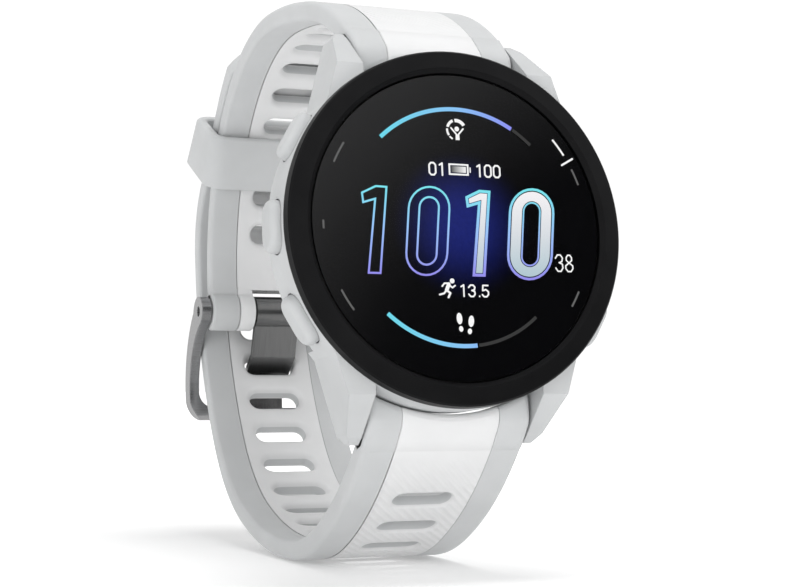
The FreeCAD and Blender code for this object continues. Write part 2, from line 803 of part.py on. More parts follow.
def tail_tip_tool(path):
    """What a rounded plan leaves of the tail's square end."""
    half_width = size("strap_half_width")
    reach = 9.0
    block_tool = Part.makeBox(2 * half_width + 2, reach, 12, Vector(-half_width - 1, -reach + 0.5, -6))
    radius = half_width + 0.9
    rounding = Part.makeCylinder(radius, 12, Vector(0, -radius, -6))
    tool = block_tool.cut(rounding)
    tool.Placement = path.frame(path.length)
    return tool


def barrel_centre():
    """Buckle pin's axis, in the thick end of the upper strap."""
    return UPPER.at(BARREL_STATION, 1.5)


def make_quick_release():
    """Spring bars that hold the straps: tube with one fixed tip, sliding pin, spring."""
    tip = size("bar_tip_radius")
    for which, path in PATHS.items():
        bar = Vector(0, path.side * size("bar_offset"), size("bar_level"))
        tube = x_rod(size("bar_tube_radius"), bar, 9.6)
        fixed_tip = Part.makeCylinder(tip, 2.2, Vector(-size("bar_reach"), bar.y, bar.z), Vector(1, 0, 0))
        bore = Part.makeCylinder(tip + size("running_gap"), 13, Vector(-2.5, bar.y, bar.z), Vector(1, 0, 0))
        lever_slot = Part.makeBox(3.2, 0.8, 2, Vector(5.1, bar.y - 0.4, bar.z - 2))
        bound_feature(f"{which}_bar_tube", tube.fuse(fixed_tip).cut(bore).cut(lever_slot))

        pin = Part.makeCylinder(tip, size("bar_reach") - 4.0, Vector(4.0, bar.y, bar.z), Vector(1, 0, 0))
        post = Part.makeBox(0.6, 0.6, 2.7, Vector(7.4, bar.y - 0.3, bar.z - 2.7))
        knob = Part.makeCylinder(0.75, 0.7, Vector(7.7, bar.y, bar.z - 3.3), Vector(0, 0, 1))
        bound_feature(f"{which}_bar_pin", pin.fuse([post, knob]))

        bound_feature(f"{which}_bar_spring", coil(0.28, 0.09, 0.54, 9, Vector(-2.4, bar.y, bar.z)))


def coil(radius, wire, pitch, turns, start):
    """Helical spring along +x from a start point, with plain cut ends."""
    helix = Part.makeHelix(pitch, pitch * turns, radius)
    section = Part.Wire([Part.makeCircle(wire, Vector(radius, 0, 0), Vector(0, 1, 0))])
    spring = Part.Wire(helix.Edges).makePipeShell([section], True, True)
    spring.Placement = Placement(start, TOWARDS_X)
    return spring


# --- buckle and keeper --------------------------------------------------------------


def make_buckle():
    """Pin, bowed frame and wide tang."""
    pin = barrel_centre()
    half_width = size("strap_half_width") + 0.25
    outer_width = half_width + size("buckle_arm_thickness")
    bound_feature("buckle_pin", x_rod(size("pin_radius"), pin, outer_width - 0.5))

    # side outline of the frame, from the pivot's eye out to the far bar and back
    y = pin.y
    z = pin.z
    eye = 2.3
    start = Vector(0, y + 0.5, z + eye)
    outline = [
        Part.Arc(start, Vector(0, y + eye, z - 0.4), Vector(0, y + 0.2, z - eye - 0.6)).toShape(),
        Part.Arc(Vector(0, y + 0.2, z - eye - 0.6), Vector(0, y - 7.0, z - 7.8),
                 Vector(0, y - 15.2, z - 8.0)).toShape(),
        Part.Arc(Vector(0, y - 15.2, z - 8.0), Vector(0, y - 16.1, z - 6.8),
                 Vector(0, y - 14.9, z - 5.6)).toShape(),
        Part.Arc(Vector(0, y - 14.9, z - 5.6), Vector(0, y - 7.8, z - 5.2),
                 Vector(0, y - 1.9, z + 1.0)).toShape(),
        Part.Arc(Vector(0, y - 1.9, z + 1.0), Vector(0, y - 0.9, z + 2.0), start).toShape(),
    ]
    side = Part.Face(Part.Wire(outline)).extrude(Vector(2 * outer_width, 0, 0))
    side.translate(Vector(-outer_width, 0, 0))
    plan = Part.makeBox(2 * outer_width, 30, 20, Vector(-outer_width, y - 16.8, z - 14))
    upright = [e for e in plan.Edges if abs(e.tangentAt(0).z) > 0.9 and e.BoundBox.YMin < y - 16]
    plan = plan.makeFillet(4.0, upright)
    opening = Part.makeBox(2 * half_width, 34, 22, Vector(-half_width, y - 14.3, z - 15))
    upright = [e for e in opening.Edges if abs(e.tangentAt(0).z) > 0.9 and e.BoundBox.YMin < y - 14]
    opening = opening.makeFillet(2.6, upright)
    hole = x_rod(size("pin_radius") + size("running_gap"), pin, outer_width + 1)
    bound_feature("buckle_frame", side.common(plan).cut(opening).cut(hole))

    # the tang runs from its eye on the pin, through a slot and out over the far bar
    half = size("tang_half_width")
    thickness = size("tang_thickness")
    crossing = LOWER.at(FIRST_SLOT["lower"] + TANG_SLOT * SLOT_PITCH["lower"], size("strap_thickness") / 2)
    route = [
        Vector(0, y - 1.7, z + 0.6),
        Vector(0, crossing.y + 1.6, crossing.z + 2.5),
        Vector(0, crossing.y - 0.3, crossing.z - 0.45),
        Vector(0, crossing.y - 2.9, z - 8.65),
        Vector(0, y - 16.2, z - 8.85),
    ]
    plate = bent_plate(route, thickness, half)
    eye_ring = x_rod(2.45, pin, half)
    hole = x_rod(size("pin_radius") + size("running_gap"), pin, half + 1)
    bound_feature("buckle_tang", eye_ring.fuse(plate).cut(hole))


def bent_plate(route, thickness, half_width):
    """Plate of even thickness along straight runs in the (y, z) plane."""
    pieces = []
    for a, b in zip(route, route[1:]):
        along = (b - a).normalize()
        across = Vector(0, -along.z, along.y) * (thickness / 2)
        corners = [a + across, b + across, b - across, a - across]
        pieces.append(x_prism([(c.y, c.z) for c in corners], half_width))
    pieces.extend(x_rod(thickness / 2, joint, half_width) for joint in route[1:-1])
    return pieces[0].fuse(pieces[1:])


KEEPER_STATION = 65.0


def make_keeper():
    """Loop round both straps, wider towards the outside where the tail stands off."""
    outer = keeper_prism([(4.2, -1.95), (-4.2, -1.6), (-3.5, 9.8), (5.0, 12.6)], 12.4, 2.2)
    hole = keeper_prism([(9.0, -0.5), (-9.0, -0.5), (-9.0, 6.4), (10.0, 12.65)], 10.8, 0.6)
    bound_feature("keeper", outer.cut(hole))


def keeper_prism(outline, half_width, rounding):
    """Prism across the strap at the keeper, with its four long corners rounded."""
    corners = [Vector(-half_width, along, out) for along, out in outline]
    prism = Part.Face(Part.makePolygon(corners + corners[:1])).extrude(Vector(2 * half_width, 0, 0))
    long_edges = [
        edge
        for edge in prism.Edges
        if abs(edge.tangentAt(0).x) < 0.1 and edge.Length > 6 and is_face_side(edge, outline)
    ]
    prism = prism.makeFillet(rounding, long_edges)
    frame = UPPER.frame(KEEPER_STATION)
    prism.Placement = frame
    return prism


def is_face_side(edge, outline):
    """True for the edges that run along the strap, on the wrist side or the outside."""
    middle = edge.CenterOfMass
    inner = (outline[0][1] + outline[1][1]) / 2
    outer = (outline[2][1] + outline[3][1]) / 2
    return abs(middle.z - inner) < 0.1 or abs(middle.z - outer) < 0.1


as_node(make_case(), "mid_case")
make_front()
make_inside()
make_back()
make_buttons()
make_straps()
make_quick_release()
make_buckle()
make_keeper()
doc.recompute()

# --- check and write -------------------------------------------------------------

for obj in doc.Objects:
    if {"Invalid", "Error"} & set(obj.State):
        raise RuntimeError(f"{obj.Label} did not compute: {obj.State}")
for obj in nodes:
    if obj.Shape.isNull() or not obj.Shape.isValid():
        raise RuntimeError(f"{obj.Label} has no valid shape")
os.makedirs("parts", exist_ok=True)
for obj in nodes:
    obj.Shape.exportStep(f"parts/{obj.Label}.step")
print(f"{len(nodes)} sub-parts written")
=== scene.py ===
import math

import bmesh
import bpy
from mathutils import Matrix, Vector
from mathutils.geometry import tessellate_polygon


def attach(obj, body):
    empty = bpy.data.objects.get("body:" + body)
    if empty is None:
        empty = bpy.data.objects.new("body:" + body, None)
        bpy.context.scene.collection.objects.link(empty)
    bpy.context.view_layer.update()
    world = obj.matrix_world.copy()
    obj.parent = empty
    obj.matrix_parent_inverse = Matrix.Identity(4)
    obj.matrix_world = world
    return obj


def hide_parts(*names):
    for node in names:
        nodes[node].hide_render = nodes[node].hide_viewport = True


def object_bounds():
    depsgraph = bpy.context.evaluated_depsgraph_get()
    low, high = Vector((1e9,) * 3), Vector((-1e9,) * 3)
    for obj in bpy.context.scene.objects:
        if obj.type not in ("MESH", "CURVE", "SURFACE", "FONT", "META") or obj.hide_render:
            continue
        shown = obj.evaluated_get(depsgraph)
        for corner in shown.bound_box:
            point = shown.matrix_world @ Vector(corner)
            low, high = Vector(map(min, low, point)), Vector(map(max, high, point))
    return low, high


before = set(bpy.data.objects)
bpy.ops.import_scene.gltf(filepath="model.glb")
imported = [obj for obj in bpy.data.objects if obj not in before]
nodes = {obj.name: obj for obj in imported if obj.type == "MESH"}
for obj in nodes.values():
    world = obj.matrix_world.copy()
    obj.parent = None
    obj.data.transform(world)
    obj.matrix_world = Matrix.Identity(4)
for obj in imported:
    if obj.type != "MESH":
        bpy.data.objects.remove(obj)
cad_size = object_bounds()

# The watch's own frame, in millimetres: x across the dial to 3 o'clock, y up to 12
# o'clock, z out of the dial. WATCH stands it up in the row frame, in metres.
MM = 0.001
FACE_TILT = math.radians(6.14)
WRIST_CENTRE_DEPTH = 41.0
WATCH = (
    Matrix.Scale(MM, 4)
    @ Matrix.Rotation(math.pi / 2 - FACE_TILT, 4, "X")
    @ Matrix.Translation((0, 0, WRIST_CENTRE_DEPTH))
)


def smoothed(obj, angle):
    """Smooth shading that keeps edges sharper than the angle."""
    obj.data.shade_smooth()
    obj.data.set_sharp_from_angle(angle=math.radians(angle))


def mesh_piece(name, points, faces, material, body, uvs=None, material_of=None):
    """New piece from watch-frame points; uvs is one (u, v) per point."""
    mesh = bpy.data.meshes.new(name)
    mesh.from_pydata([WATCH @ Vector(p) for p in points], [], faces)
    mesh.update()
    if uvs:
        layer = mesh.uv_layers.new(name="length")
        for loop in mesh.loops:
            layer.data[loop.index].uv = uvs[loop.vertex_index]
    materials = material if isinstance(material, list) else [material]
    for entry in materials:
        mesh.materials.append(entry)
    if material_of:
        for polygon in mesh.polygons:
            polygon.material_index = material_of[polygon.index]
    obj = bpy.data.objects.new(name, mesh)
    bpy.context.scene.collection.objects.link(obj)
    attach(obj, body)
    return obj


def tidy_normals(obj):
    """Merges touching points and turns every face outwards."""
    work = bmesh.new()
    work.from_mesh(obj.data)
    bmesh.ops.remove_doubles(work, verts=work.verts, dist=0.002 * MM)
    bmesh.ops.recalc_face_normals(work, faces=work.faces)
    work.to_mesh(obj.data)
    work.free()
    return obj


# --- materials ------------------------------------------------------------------


class Shader:
    """A node material with short ways to add and join nodes."""

    def __init__(self, name):
        self.material = bpy.data.materials.new(name)
        self.material.use_nodes = True
        self.tree = self.material.node_tree
        self.bsdf = self.tree.nodes["Principled BSDF"]
        self.output = self.tree.nodes["Material Output"]

    def node(self, kind, **settings):
        made = self.tree.nodes.new(kind)
        for key, value in settings.items():
            if key.startswith("in_"):
                made.inputs[key[3:].replace("_", " ")].default_value = value
            else:
                setattr(made, key, value)
        return made

    def join(self, source, target):
        self.tree.links.new(source, target)

    def position(self):
        return self.node("ShaderNodeTexCoord").outputs["Object"]

    def length_uv(self):
        return self.node("ShaderNodeUVMap", uv_map="length").outputs["UV"]

    def noise(self, scale, detail=4.0, where=None):
        made = self.node("ShaderNodeTexNoise", in_Scale=scale, in_Detail=detail)
        self.join(where or self.position(), made.inputs["Vector"])
        return made.outputs["Fac"]

    def spread(self, value, low, high):
        made = self.node("ShaderNodeMapRange", in_To_Min=low, in_To_Max=high)
        self.join(value, made.inputs["Value"])
        return made.outputs["Result"]

    def maths(self, operation, first, second):
        made = self.node("ShaderNodeMath", operation=operation)
        for socket, value in zip(made.inputs, (first, second)):
            if isinstance(value, (int, float)):
                socket.default_value = value
            else:
                self.join(value, socket)
        return made.outputs["Value"]

    def ramp(self, value, stops):
        made = self.node("ShaderNodeValToRGB")
        made.color_ramp.elements[0].position = stops[0][0]
        made.color_ramp.elements[0].color = (*stops[0][1], 1)
        made.color_ramp.elements[1].position = stops[-1][0]
        made.color_ramp.elements[1].color = (*stops[-1][1], 1)
        for place, colour in stops[1:-1]:
            made.color_ramp.elements.new(place).color = (*colour, 1)
        self.join(value, made.inputs["Fac"])
        return made.outputs["Color"]

    def relief(self, height, depth_mm, strength=1.0, edge_mm=0.0):
        bump = self.node("ShaderNodeBump", in_Strength=strength, in_Distance=depth_mm * MM)
        self.join(height, bump.inputs["Height"])
        if edge_mm:
            edge = self.node("ShaderNodeBevel", samples=4, in_Radius=edge_mm * MM)
            self.join(edge.outputs["Normal"], bump.inputs["Normal"])
        self.join(bump.outputs["Normal"], self.bsdf.inputs["Normal"])


def tinted(colour, factor):
    return tuple(min(1.0, c * factor) for c in colour)


def moulded(name, colour, roughness, grain=0.012, edge=0.12, sheen=0.0, specular=0.4):
    """Moulded plastic or silicone: fine grain, faint mottling, uneven gloss, soft edges."""
    shader = Shader(name)
    mottle = shader.noise(160, 3.0)
    shader.join(
        shader.ramp(mottle, [(0.3, tinted(colour, 0.965)), (0.7, tinted(colour, 1.03))]),
        shader.bsdf.inputs["Base Color"],
    )
    gloss = shader.noise(900, 5.0)
    shader.join(shader.spread(gloss, roughness - 0.06, roughness + 0.06), shader.bsdf.inputs["Roughness"])
    shader.bsdf.inputs["Specular IOR Level"].default_value = specular
    if sheen:
        shader.bsdf.inputs["Sheen Weight"].default_value = sheen
        shader.bsdf.inputs["Sheen Roughness"].default_value = 0.5
    shader.relief(shader.noise(9000, 2.0), grain, 0.5, edge)
    return shader.material


def brushed(name, colour, roughness, stretch=(40, 1, 1), edge=0.12):
    """Metal with fine lines along one direction and small changes of tone."""
    shader = Shader(name)
    mapping = shader.node("ShaderNodeMapping")
    mapping.inputs["Scale"].default_value = stretch
    shader.join(shader.position(), mapping.inputs["Vector"])
    lines = shader.noise(260, 8.0, mapping.outputs["Vector"])
    shader.join(
        shader.ramp(lines, [(0.3, tinted(colour, 0.82)), (0.7, tinted(colour, 1.12))]),
        shader.bsdf.inputs["Base Color"],
    )
    shader.bsdf.inputs["Metallic"].default_value = 1.0
    shader.join(shader.spread(lines, roughness - 0.08, roughness + 0.1), shader.bsdf.inputs["Roughness"])
    shader.relief(lines, 0.006, 0.35, edge)
    return shader.material


def glow_base(name):
    """Dark, dull surface that a glow is added to."""
    shader = Shader(name)
    shader.bsdf.inputs["Base Color"].default_value = (0.01, 0.01, 0.01, 1)
    shader.bsdf.inputs["Roughness"].default_value = 0.8
    shader.bsdf.inputs["Specular IOR Level"].default_value = 0.0
    return shader


def lit_evenly(name, colour):
    """Display element of one colour, with the slight unevenness of its pixels."""
    shader = glow_base(name)
    shader.bsdf.inputs["Emission Color"].default_value = (*colour, 1)
    shader.join(shader.spread(shader.noise(2600, 1.0), 0.93, 1.05), shader.bsdf.inputs["Emission Strength"])
    return shader.material


def lit(name, stops, across, low, high):
    """Display element that glows, its colour running along one direction of the row frame."""
    shader = glow_base(name)
    dot = shader.node("ShaderNodeVectorMath", operation="DOT_PRODUCT")
    dot.inputs[1].default_value = across
    shader.join(shader.position(), dot.inputs[0])
    place = shader.node("ShaderNodeMapRange", in_From_Min=low, in_From_Max=high)
    shader.join(dot.outputs["Value"], place.inputs["Value"])
    colour = shader.ramp(place.outputs["Result"], stops)
    shader.join(colour, shader.bsdf.inputs["Emission Color"])
    shader.bsdf.inputs["Emission Strength"].default_value = 1.0
    return shader.material


GREY = (0.535, 0.545, 0.55)
WHITE = (0.72, 0.722, 0.725)
STEEL = (0.42, 0.42, 0.43)
BRASS = (0.75, 0.56, 0.28)

case_plastic = moulded("case_plastic", (0.52, 0.53, 0.535), 0.5, 0.010, 0.18)
button_plastic = moulded("button_plastic", (0.50, 0.51, 0.515), 0.42, 0.006, 0.12)
grey_silicone = moulded("grey_silicone", GREY, 0.62, 0.010, 0.0, 0.15, 0.3)
black_rubber = moulded("black_rubber", (0.02, 0.02, 0.02), 0.7)
black_plastic = moulded("black_plastic", (0.025, 0.025, 0.027), 0.5)
back_plastic = moulded("back_plastic", (0.40, 0.41, 0.415), 0.55, 0.014, 0.15)
board_mask = moulded("board_mask", (0.015, 0.11, 0.05), 0.3)
film = moulded("film", (0.5, 0.2, 0.04), 0.35)
epoxy = moulded("epoxy", (0.7, 0.72, 0.5), 0.2)
smoked = moulded("smoked_window", (0.008, 0.008, 0.01), 0.09, 0.001, 0.08, 0.0, 0.5)
steel = brushed("steel", STEEL, 0.3)
dark_steel = brushed("dark_steel", (0.38, 0.38, 0.385), 0.22, (1, 30, 30), 0.3)
tang_steel = brushed("tang_steel", (0.2, 0.2, 0.2), 0.22, (60, 1, 1), 0.15)
brass = brushed("brass", BRASS, 0.3)
foil = brushed("foil", (0.6, 0.6, 0.62), 0.35)


def bezel_paint():
    """Satin black with faint turned lines round the dial axis."""
    shader = Shader("bezel_black")
    turned = shader.node("ShaderNodeMapping")
    turned.inputs["Rotation"].default_value = (FACE_TILT - math.pi / 2, 0, 0)
    shader.join(shader.position(), turned.inputs["Vector"])
    parts = shader.node("ShaderNodeSeparateXYZ")
    shader.join(turned.outputs["Vector"], parts.inputs["Vector"])
    flat = shader.node("ShaderNodeCombineXYZ")
    shader.join(parts.outputs["X"], flat.inputs["X"])
    shader.join(parts.outputs["Y"], flat.inputs["Y"])
    radius = shader.node("ShaderNodeVectorMath", operation="LENGTH")
    shader.join(flat.outputs["Vector"], radius.inputs[0])
    lines = shader.node("ShaderNodeTexNoise", noise_dimensions="1D", in_Scale=9000.0, in_Detail=2.0)
    shader.join(radius.outputs["Value"], lines.inputs["W"])
    shader.join(
        shader.ramp(shader.noise(220), [(0.3, (0.0035, 0.0035, 0.004)), (0.7, (0.006, 0.006, 0.0065))]),
        shader.bsdf.inputs["Base Color"],
    )
    shader.join(shader.spread(lines.outputs["Fac"], 0.34, 0.46), shader.bsdf.inputs["Roughness"])
    shader.bsdf.inputs["Specular IOR Level"].default_value = 0.12
    shader.relief(lines.outputs["Fac"], 0.002, 0.25, 0.08)
    return shader.material


def clear_glass():
    """Cover glass: passes light straight through and mirrors a little, with faint smears."""
    shader = Shader("cover_glass")
    clear = shader.node("ShaderNodeBsdfTransparent")
    gloss = shader.node("ShaderNodeBsdfGlossy")
    smear = shader.noise(120, 3.0)
    shader.join(shader.spread(smear, 0.02, 0.06), gloss.inputs["Roughness"])
    fresnel = shader.node("ShaderNodeFresnel", in_IOR=1.12)
    mix = shader.node("ShaderNodeMixShader")
    shader.join(fresnel.outputs["Fac"], mix.inputs["Fac"])
    shader.join(clear.outputs["BSDF"], mix.inputs[1])
    shader.join(gloss.outputs["BSDF"], mix.inputs[2])
    shader.join(mix.outputs["Shader"], shader.output.inputs["Surface"])
    return shader.material


def ribbed_silicone():
    """White silicone: slanting ribs on the outside of the strap, plain elsewhere."""
    shader = Shader("white_silicone")
    shader.join(
        shader.ramp(shader.noise(160, 3.0), [(0.3, tinted(WHITE, 0.97)), (0.7, tinted(WHITE, 1.02))]),
        shader.bsdf.inputs["Base Color"],
    )
    shader.join(shader.spread(shader.noise(900, 5.0), 0.52, 0.64), shader.bsdf.inputs["Roughness"])
    shader.bsdf.inputs["Specular IOR Level"].default_value = 0.3
    shader.bsdf.inputs["Sheen Weight"].default_value = 0.1
    wave = shader.node("ShaderNodeTexWave", in_Scale=RIB_WAVE_SCALE, in_Distortion=0.0)
    wave.bands_direction = "DIAGONAL"
    place = shader.length_uv()
    shader.join(place, wave.inputs["Vector"])
    parts = shader.node("ShaderNodeSeparateXYZ")
    shader.join(place, parts.inputs["Vector"])
    along = shader.maths("ABSOLUTE", parts.outputs["Y"], 0.0)
    fade = shader.node("ShaderNodeMapRange", in_From_Min=0.4, in_From_Max=1.1)
    shader.join(along, fade.inputs["Value"])
    outside = shader.node("ShaderNodeAttribute", attribute_name="outside")
    ribs = shader.maths("MULTIPLY", wave.outputs["Fac"], fade.outputs["Result"])
    ribs = shader.maths("MULTIPLY", ribs, outside.outputs["Fac"])
    grain = shader.maths("MULTIPLY", shader.noise(9000, 2.0), 0.06)
    shader.relief(shader.maths("ADD", ribs, grain), 0.16, 0.6)
    return shader.material


# Strap uv is in centimetres: u across, v along. A diagonal wave of scale 1 repeats
# every 2 pi / 10 of a unit when measured along v.
RIB_PITCH_CM = 0.136
RIB_WAVE_SCALE = 2 * math.pi / 10 / RIB_PITCH_CM
white_silicone = ribbed_silicone()

# --- strap geometry ---------------------------------------------------------------

STRAIGHT = 0
STRAP_START = (21.5, -7.3)
STRAP_START_ANGLE = math.radians(41.7)
STRAP_RUNS = {
    "upper": [(33.7, 28.7), (78.4, 13.0), (26.5, 37.6), (30.7, 68.5)],
    "lower": [(45.0, 29.5), (26.0, 21.5), (54.0, 22.5), (28.0, 33.5), (57.0, 31.8), (12.0, 44.5),
              (STRAIGHT, 14.3), (33.6, 14.0), (29.4, 12.0)],
}
HALF_WIDTH = 10.5
THICKNESS = 2.6
INLAY = 6.28
SLOT_RADIUS = 1.35
SLOT_STRAIGHT = 3.94 - SLOT_RADIUS
SLOT_PITCH = {"upper": 5.75, "lower": 5.97}
FIRST_SLOT = {"upper": 19.0, "lower": 12.1}
SLOT_COUNT = {"upper": 11, "lower": 20}
TAIL_MARGIN = 4.0
END_STRETCH = 2.4
CASE_CLEARANCE = 21.72
NOTCH = 3.8
NOTCH_LENGTH = 3.1
BAR = (24.0, -8.5)
BAR_HOUSING_RADIUS = 2.35
LEVER_SLOT = (4.6, 9.2)
BARREL_RADIUS = 2.9
BARREL_INSET = 0.5
PIN_OFFSET = 1.5
RIM = 0.35


class StrapPath:
    """The wrist side of a strap in the (y, z) plane, measured from its lug."""

    def __init__(self, which):
        self.side = 1 if which == "upper" else -1
        y = self.side * STRAP_START[0]
        z = STRAP_START[1]
        heading = -STRAP_START_ANGLE if self.side > 0 else STRAP_START_ANGLE - math.pi
        self.runs = []
        start = 0.0
        for radius, amount in STRAP_RUNS[which]:
            self.runs.append((start, radius, y, z, heading))
            length = amount if radius == STRAIGHT else radius * math.radians(amount)
            y, z, heading = self.travel(radius, y, z, heading, length)
            start += length
        self.length = start

    def travel(self, radius, y, z, heading, distance):
        if radius == STRAIGHT:
            return y + distance * math.cos(heading), z + distance * math.sin(heading), heading
        centre_y = y + self.side * radius * math.sin(heading)
        centre_z = z - self.side * radius * math.cos(heading)
        heading -= self.side * distance / radius
        y = centre_y - self.side * radius * math.sin(heading)
        z = centre_z + self.side * radius * math.cos(heading)
        return y, z, heading

    def place(self, station):
        run = next(r for r in reversed(self.runs) if station >= r[0] - 1e-9 or r is self.runs[0])
        start, radius, y, z, heading = run
        return self.travel(radius, y, z, heading, station - start)

    def at(self, station, offset, x):
        """Watch-frame point at a station, moved outwards from the wrist by an offset."""
        y, z, heading = self.place(station)
        return (
            x,
            y - self.side * offset * math.sin(heading),
            z + self.side * offset * math.cos(heading),
        )


PATHS = {"upper": StrapPath("upper"), "lower": StrapPath("lower")}
BARREL_STATION = PATHS["upper"].length - BARREL_INSET
PIN = PATHS["upper"].at(BARREL_STATION, PIN_OFFSET, 0)


class Builder:
    """Collects the points, faces and uvs of one mesh."""

    def __init__(self):
        self.points = []
        self.faces = []
        self.uvs = []
        self.kinds = []

    def add(self, point, uv=(0.0, 0.0)):
        self.points.append(point)
        self.uvs.append(uv)
        return len(self.points) - 1

    def face(self, corners, kind=0):
        self.faces.append(corners)
        self.kinds.append(kind)

    def bridge(self, first, second, closed=True, kind=0):
        count = len(first)
        for i in range(count if closed else count - 1):
            j = (i + 1) % count
            self.face([first[i], first[j], second[j], second[i]], kind)

    def piece(self, name, material, body):
        obj = mesh_piece(name, self.points, self.faces, material, body, self.uvs, self.kinds)
        return tidy_normals(obj)


def rounded(left, right, low, high, radii, steps=4):
    """Closed outline of a rectangle; radii are for (left low, right low, right high, left high)."""
    outline = []
    corners = ((left, low, 1, 1), (right, low, -1, 1), (right, high, -1, -1), (left, high, 1, -1))
    for index, (x, z, in_x, in_z) in enumerate(corners):
        radius = radii[index]
        start = math.pi + index * math.pi / 2
        for step in range(steps + 1):
            angle = start + math.pi / 2 * step / steps
            outline.append((
                x + in_x * radius + radius * math.cos(angle),
                z + in_z * radius + radius * math.sin(angle),
            ))
    return outline


def stations(first, last, step=1.0):
    count = max(1, math.ceil((last - first) / step))
    return [first + (last - first) * i / count for i in range(count + 1)]


def sweep(builder, path, first, last, outline_at, step=1.0):
    """Carries an outline in (x, outwards) along the path, with closed ends."""
    rings = []
    for station in stations(first, last, step):
        outline = outline_at(station)
        rings.append([
            builder.add(path.at(station, out, x), (x / 10, path.side * station / 10))
            for x, out in outline
        ])
    for one, two in zip(rings, rings[1:]):
        builder.bridge(one, two)
    builder.face(rings[0])
    builder.face(list(reversed(rings[-1])))


def tail_half_width(station):
    """Half width of the lower strap: full, then round at its free end."""
    left = PATHS["lower"].length - station
    radius = HALF_WIDTH + 0.9
    if left >= radius:
        return HALF_WIDTH
    return min(HALF_WIDTH, math.sqrt(max(0.09, radius ** 2 - (radius - left) ** 2)))


SOFT = 0.75
SEAM = 0.16
WRIST_SOFT = 0.55
RAIL_INNER = INLAY + 0.02


def rail_outline(hand, half_width):
    """Section of one grey rail, softly rounded on its free side."""
    free = min(SOFT, (half_width - RAIL_INNER) / 3)
    if hand > 0:
        return rounded(RAIL_INNER, half_width, 0, THICKNESS, (SEAM, WRIST_SOFT, free, SEAM))
    return rounded(-half_width, -RAIL_INNER, 0, THICKNESS, (WRIST_SOFT, SEAM, SEAM, free))


def full_outline(half_width):
    soft = min(SOFT, half_width / 2)
    return rounded(-half_width, half_width, 0, THICKNESS, (soft,) * 4)


def x_prism(builder, outline, left, right):
    """Outline in (y, z) carried along x, its ends drawn in a little to round the rim."""
    middle_y = sum(p[0] for p in outline) / len(outline)
    middle_z = sum(p[1] for p in outline) / len(outline)
    rings = []
    for x, inset in (
        (left, RIM), (left + RIM * 0.3, RIM * 0.3), (left + RIM, 0.0),
        (right - RIM, 0.0), (right - RIM * 0.3, RIM * 0.3), (right, RIM),
    ):
        ring = []
        for y, z in outline:
            reach = math.hypot(y - middle_y, z - middle_z)
            shrink = 1 - inset / reach
            point = (x, middle_y + (y - middle_y) * shrink, middle_z + (z - middle_z) * shrink)
            ring.append(builder.add(point, (x / 10, 0)))
        rings.append(ring)
    for one, two in zip(rings, rings[1:]):
        builder.bridge(one, two)
    builder.face(rings[0])
    builder.face(list(reversed(rings[-1])))


def shrunk(loop, amount):
    """Loop moved inwards by an amount, corner by corner (outline runs anticlockwise)."""
    made = []
    count = len(loop)
    for i in range(count):
        before = Vector(loop[i - 1])
        here = Vector(loop[i])
        after = Vector(loop[(i + 1) % count])
        first = (here - before).normalized()
        second = (after - here).normalized()
        normal_1 = Vector((-first.y, first.x))
        normal_2 = Vector((-second.y, second.x))
        bisector = normal_1 + normal_2
        bisector = bisector / max(0.3, bisector.length_squared / 2)
        made.append(tuple(here + bisector * amount))
    return made


def arc_points(centre, radius, start, end, count):
    return [
        (
            centre[0] + radius * math.cos(math.radians(start + (end - start) * i / count)),
            centre[1] + radius * math.sin(math.radians(start + (end - start) * i / count)),
        )
        for i in range(count + 1)
    ]


def end_section(x):
    """Side outline of the strap's thick end, anticlockwise, which follows the round case."""
    wall = math.sqrt(CASE_CLEARANCE ** 2 - x ** 2)
    housing = arc_points(BAR, BAR_HOUSING_RADIUS, -142, -50, 16)
    if LEVER_SLOT[0] < x < LEVER_SLOT[1]:
        housing = [
            (max(BAR[0] - 1.1, min(BAR[0] + 1.1, y)), BAR[1] - 0.9) if abs(y - BAR[0]) < 1.25 else (y, z)
            for y, z in housing
        ]
    under = [(wall, -5.75), (wall, -7.9), (wall + 0.25, -8.4), (wall + 0.7, -8.6), (22.0, -8.95)]
    over = [(25.9, -7.74), (24.7, -6.68), (23.75, -5.83), (23.25, -5.42), (22.75, -5.16),
            (22.2, -5.02), (max(21.2, wall + 0.9), -5.0), (wall + 0.8, -5.0), (wall + 0.42, -5.1),
            (wall + 0.12, -5.36)]
    return under + housing + [(26.3, -9.9)] + over


def strap_end(builder, path, left, right, soft_left, soft_right):
    """Thick end of the strap between two x positions, its two side rims rounded."""
    columns = []
    for share in (0, 30, 60, 90):
        angle = math.radians(share)
        columns.append((left + soft_left * (1 - math.cos(angle)), soft_left * (1 - math.sin(angle))))
    columns.reverse()
    inner = [left + soft_left + (right - soft_right - left - soft_left) * i / 12 for i in range(1, 12)]
    inner += [edge + step for edge in LEVER_SLOT for step in (-0.01, 0.01)
              if left + soft_left < edge < right - soft_right]
    for share in (90, 60, 30, 0):
        angle = math.radians(share)
        columns.append((right - soft_right * (1 - math.cos(angle)), soft_right * (1 - math.sin(angle))))
    columns = sorted(columns + [(x, 0.0) for x in inner])
    rings = []
    for x, inset in columns:
        outline = end_section(x)
        if inset:
            outline = shrunk(outline, inset)
        rings.append([builder.add((x, path.side * y, z), (x / 10, 0)) for y, z in outline])
    for one, two in zip(rings, rings[1:]):
        builder.bridge(one, two)
    builder.face(rings[0])
    builder.face(list(reversed(rings[-1])))


ACROSS_INLAY = [-INLAY + 2 * INLAY * i / 16 for i in range(17)]


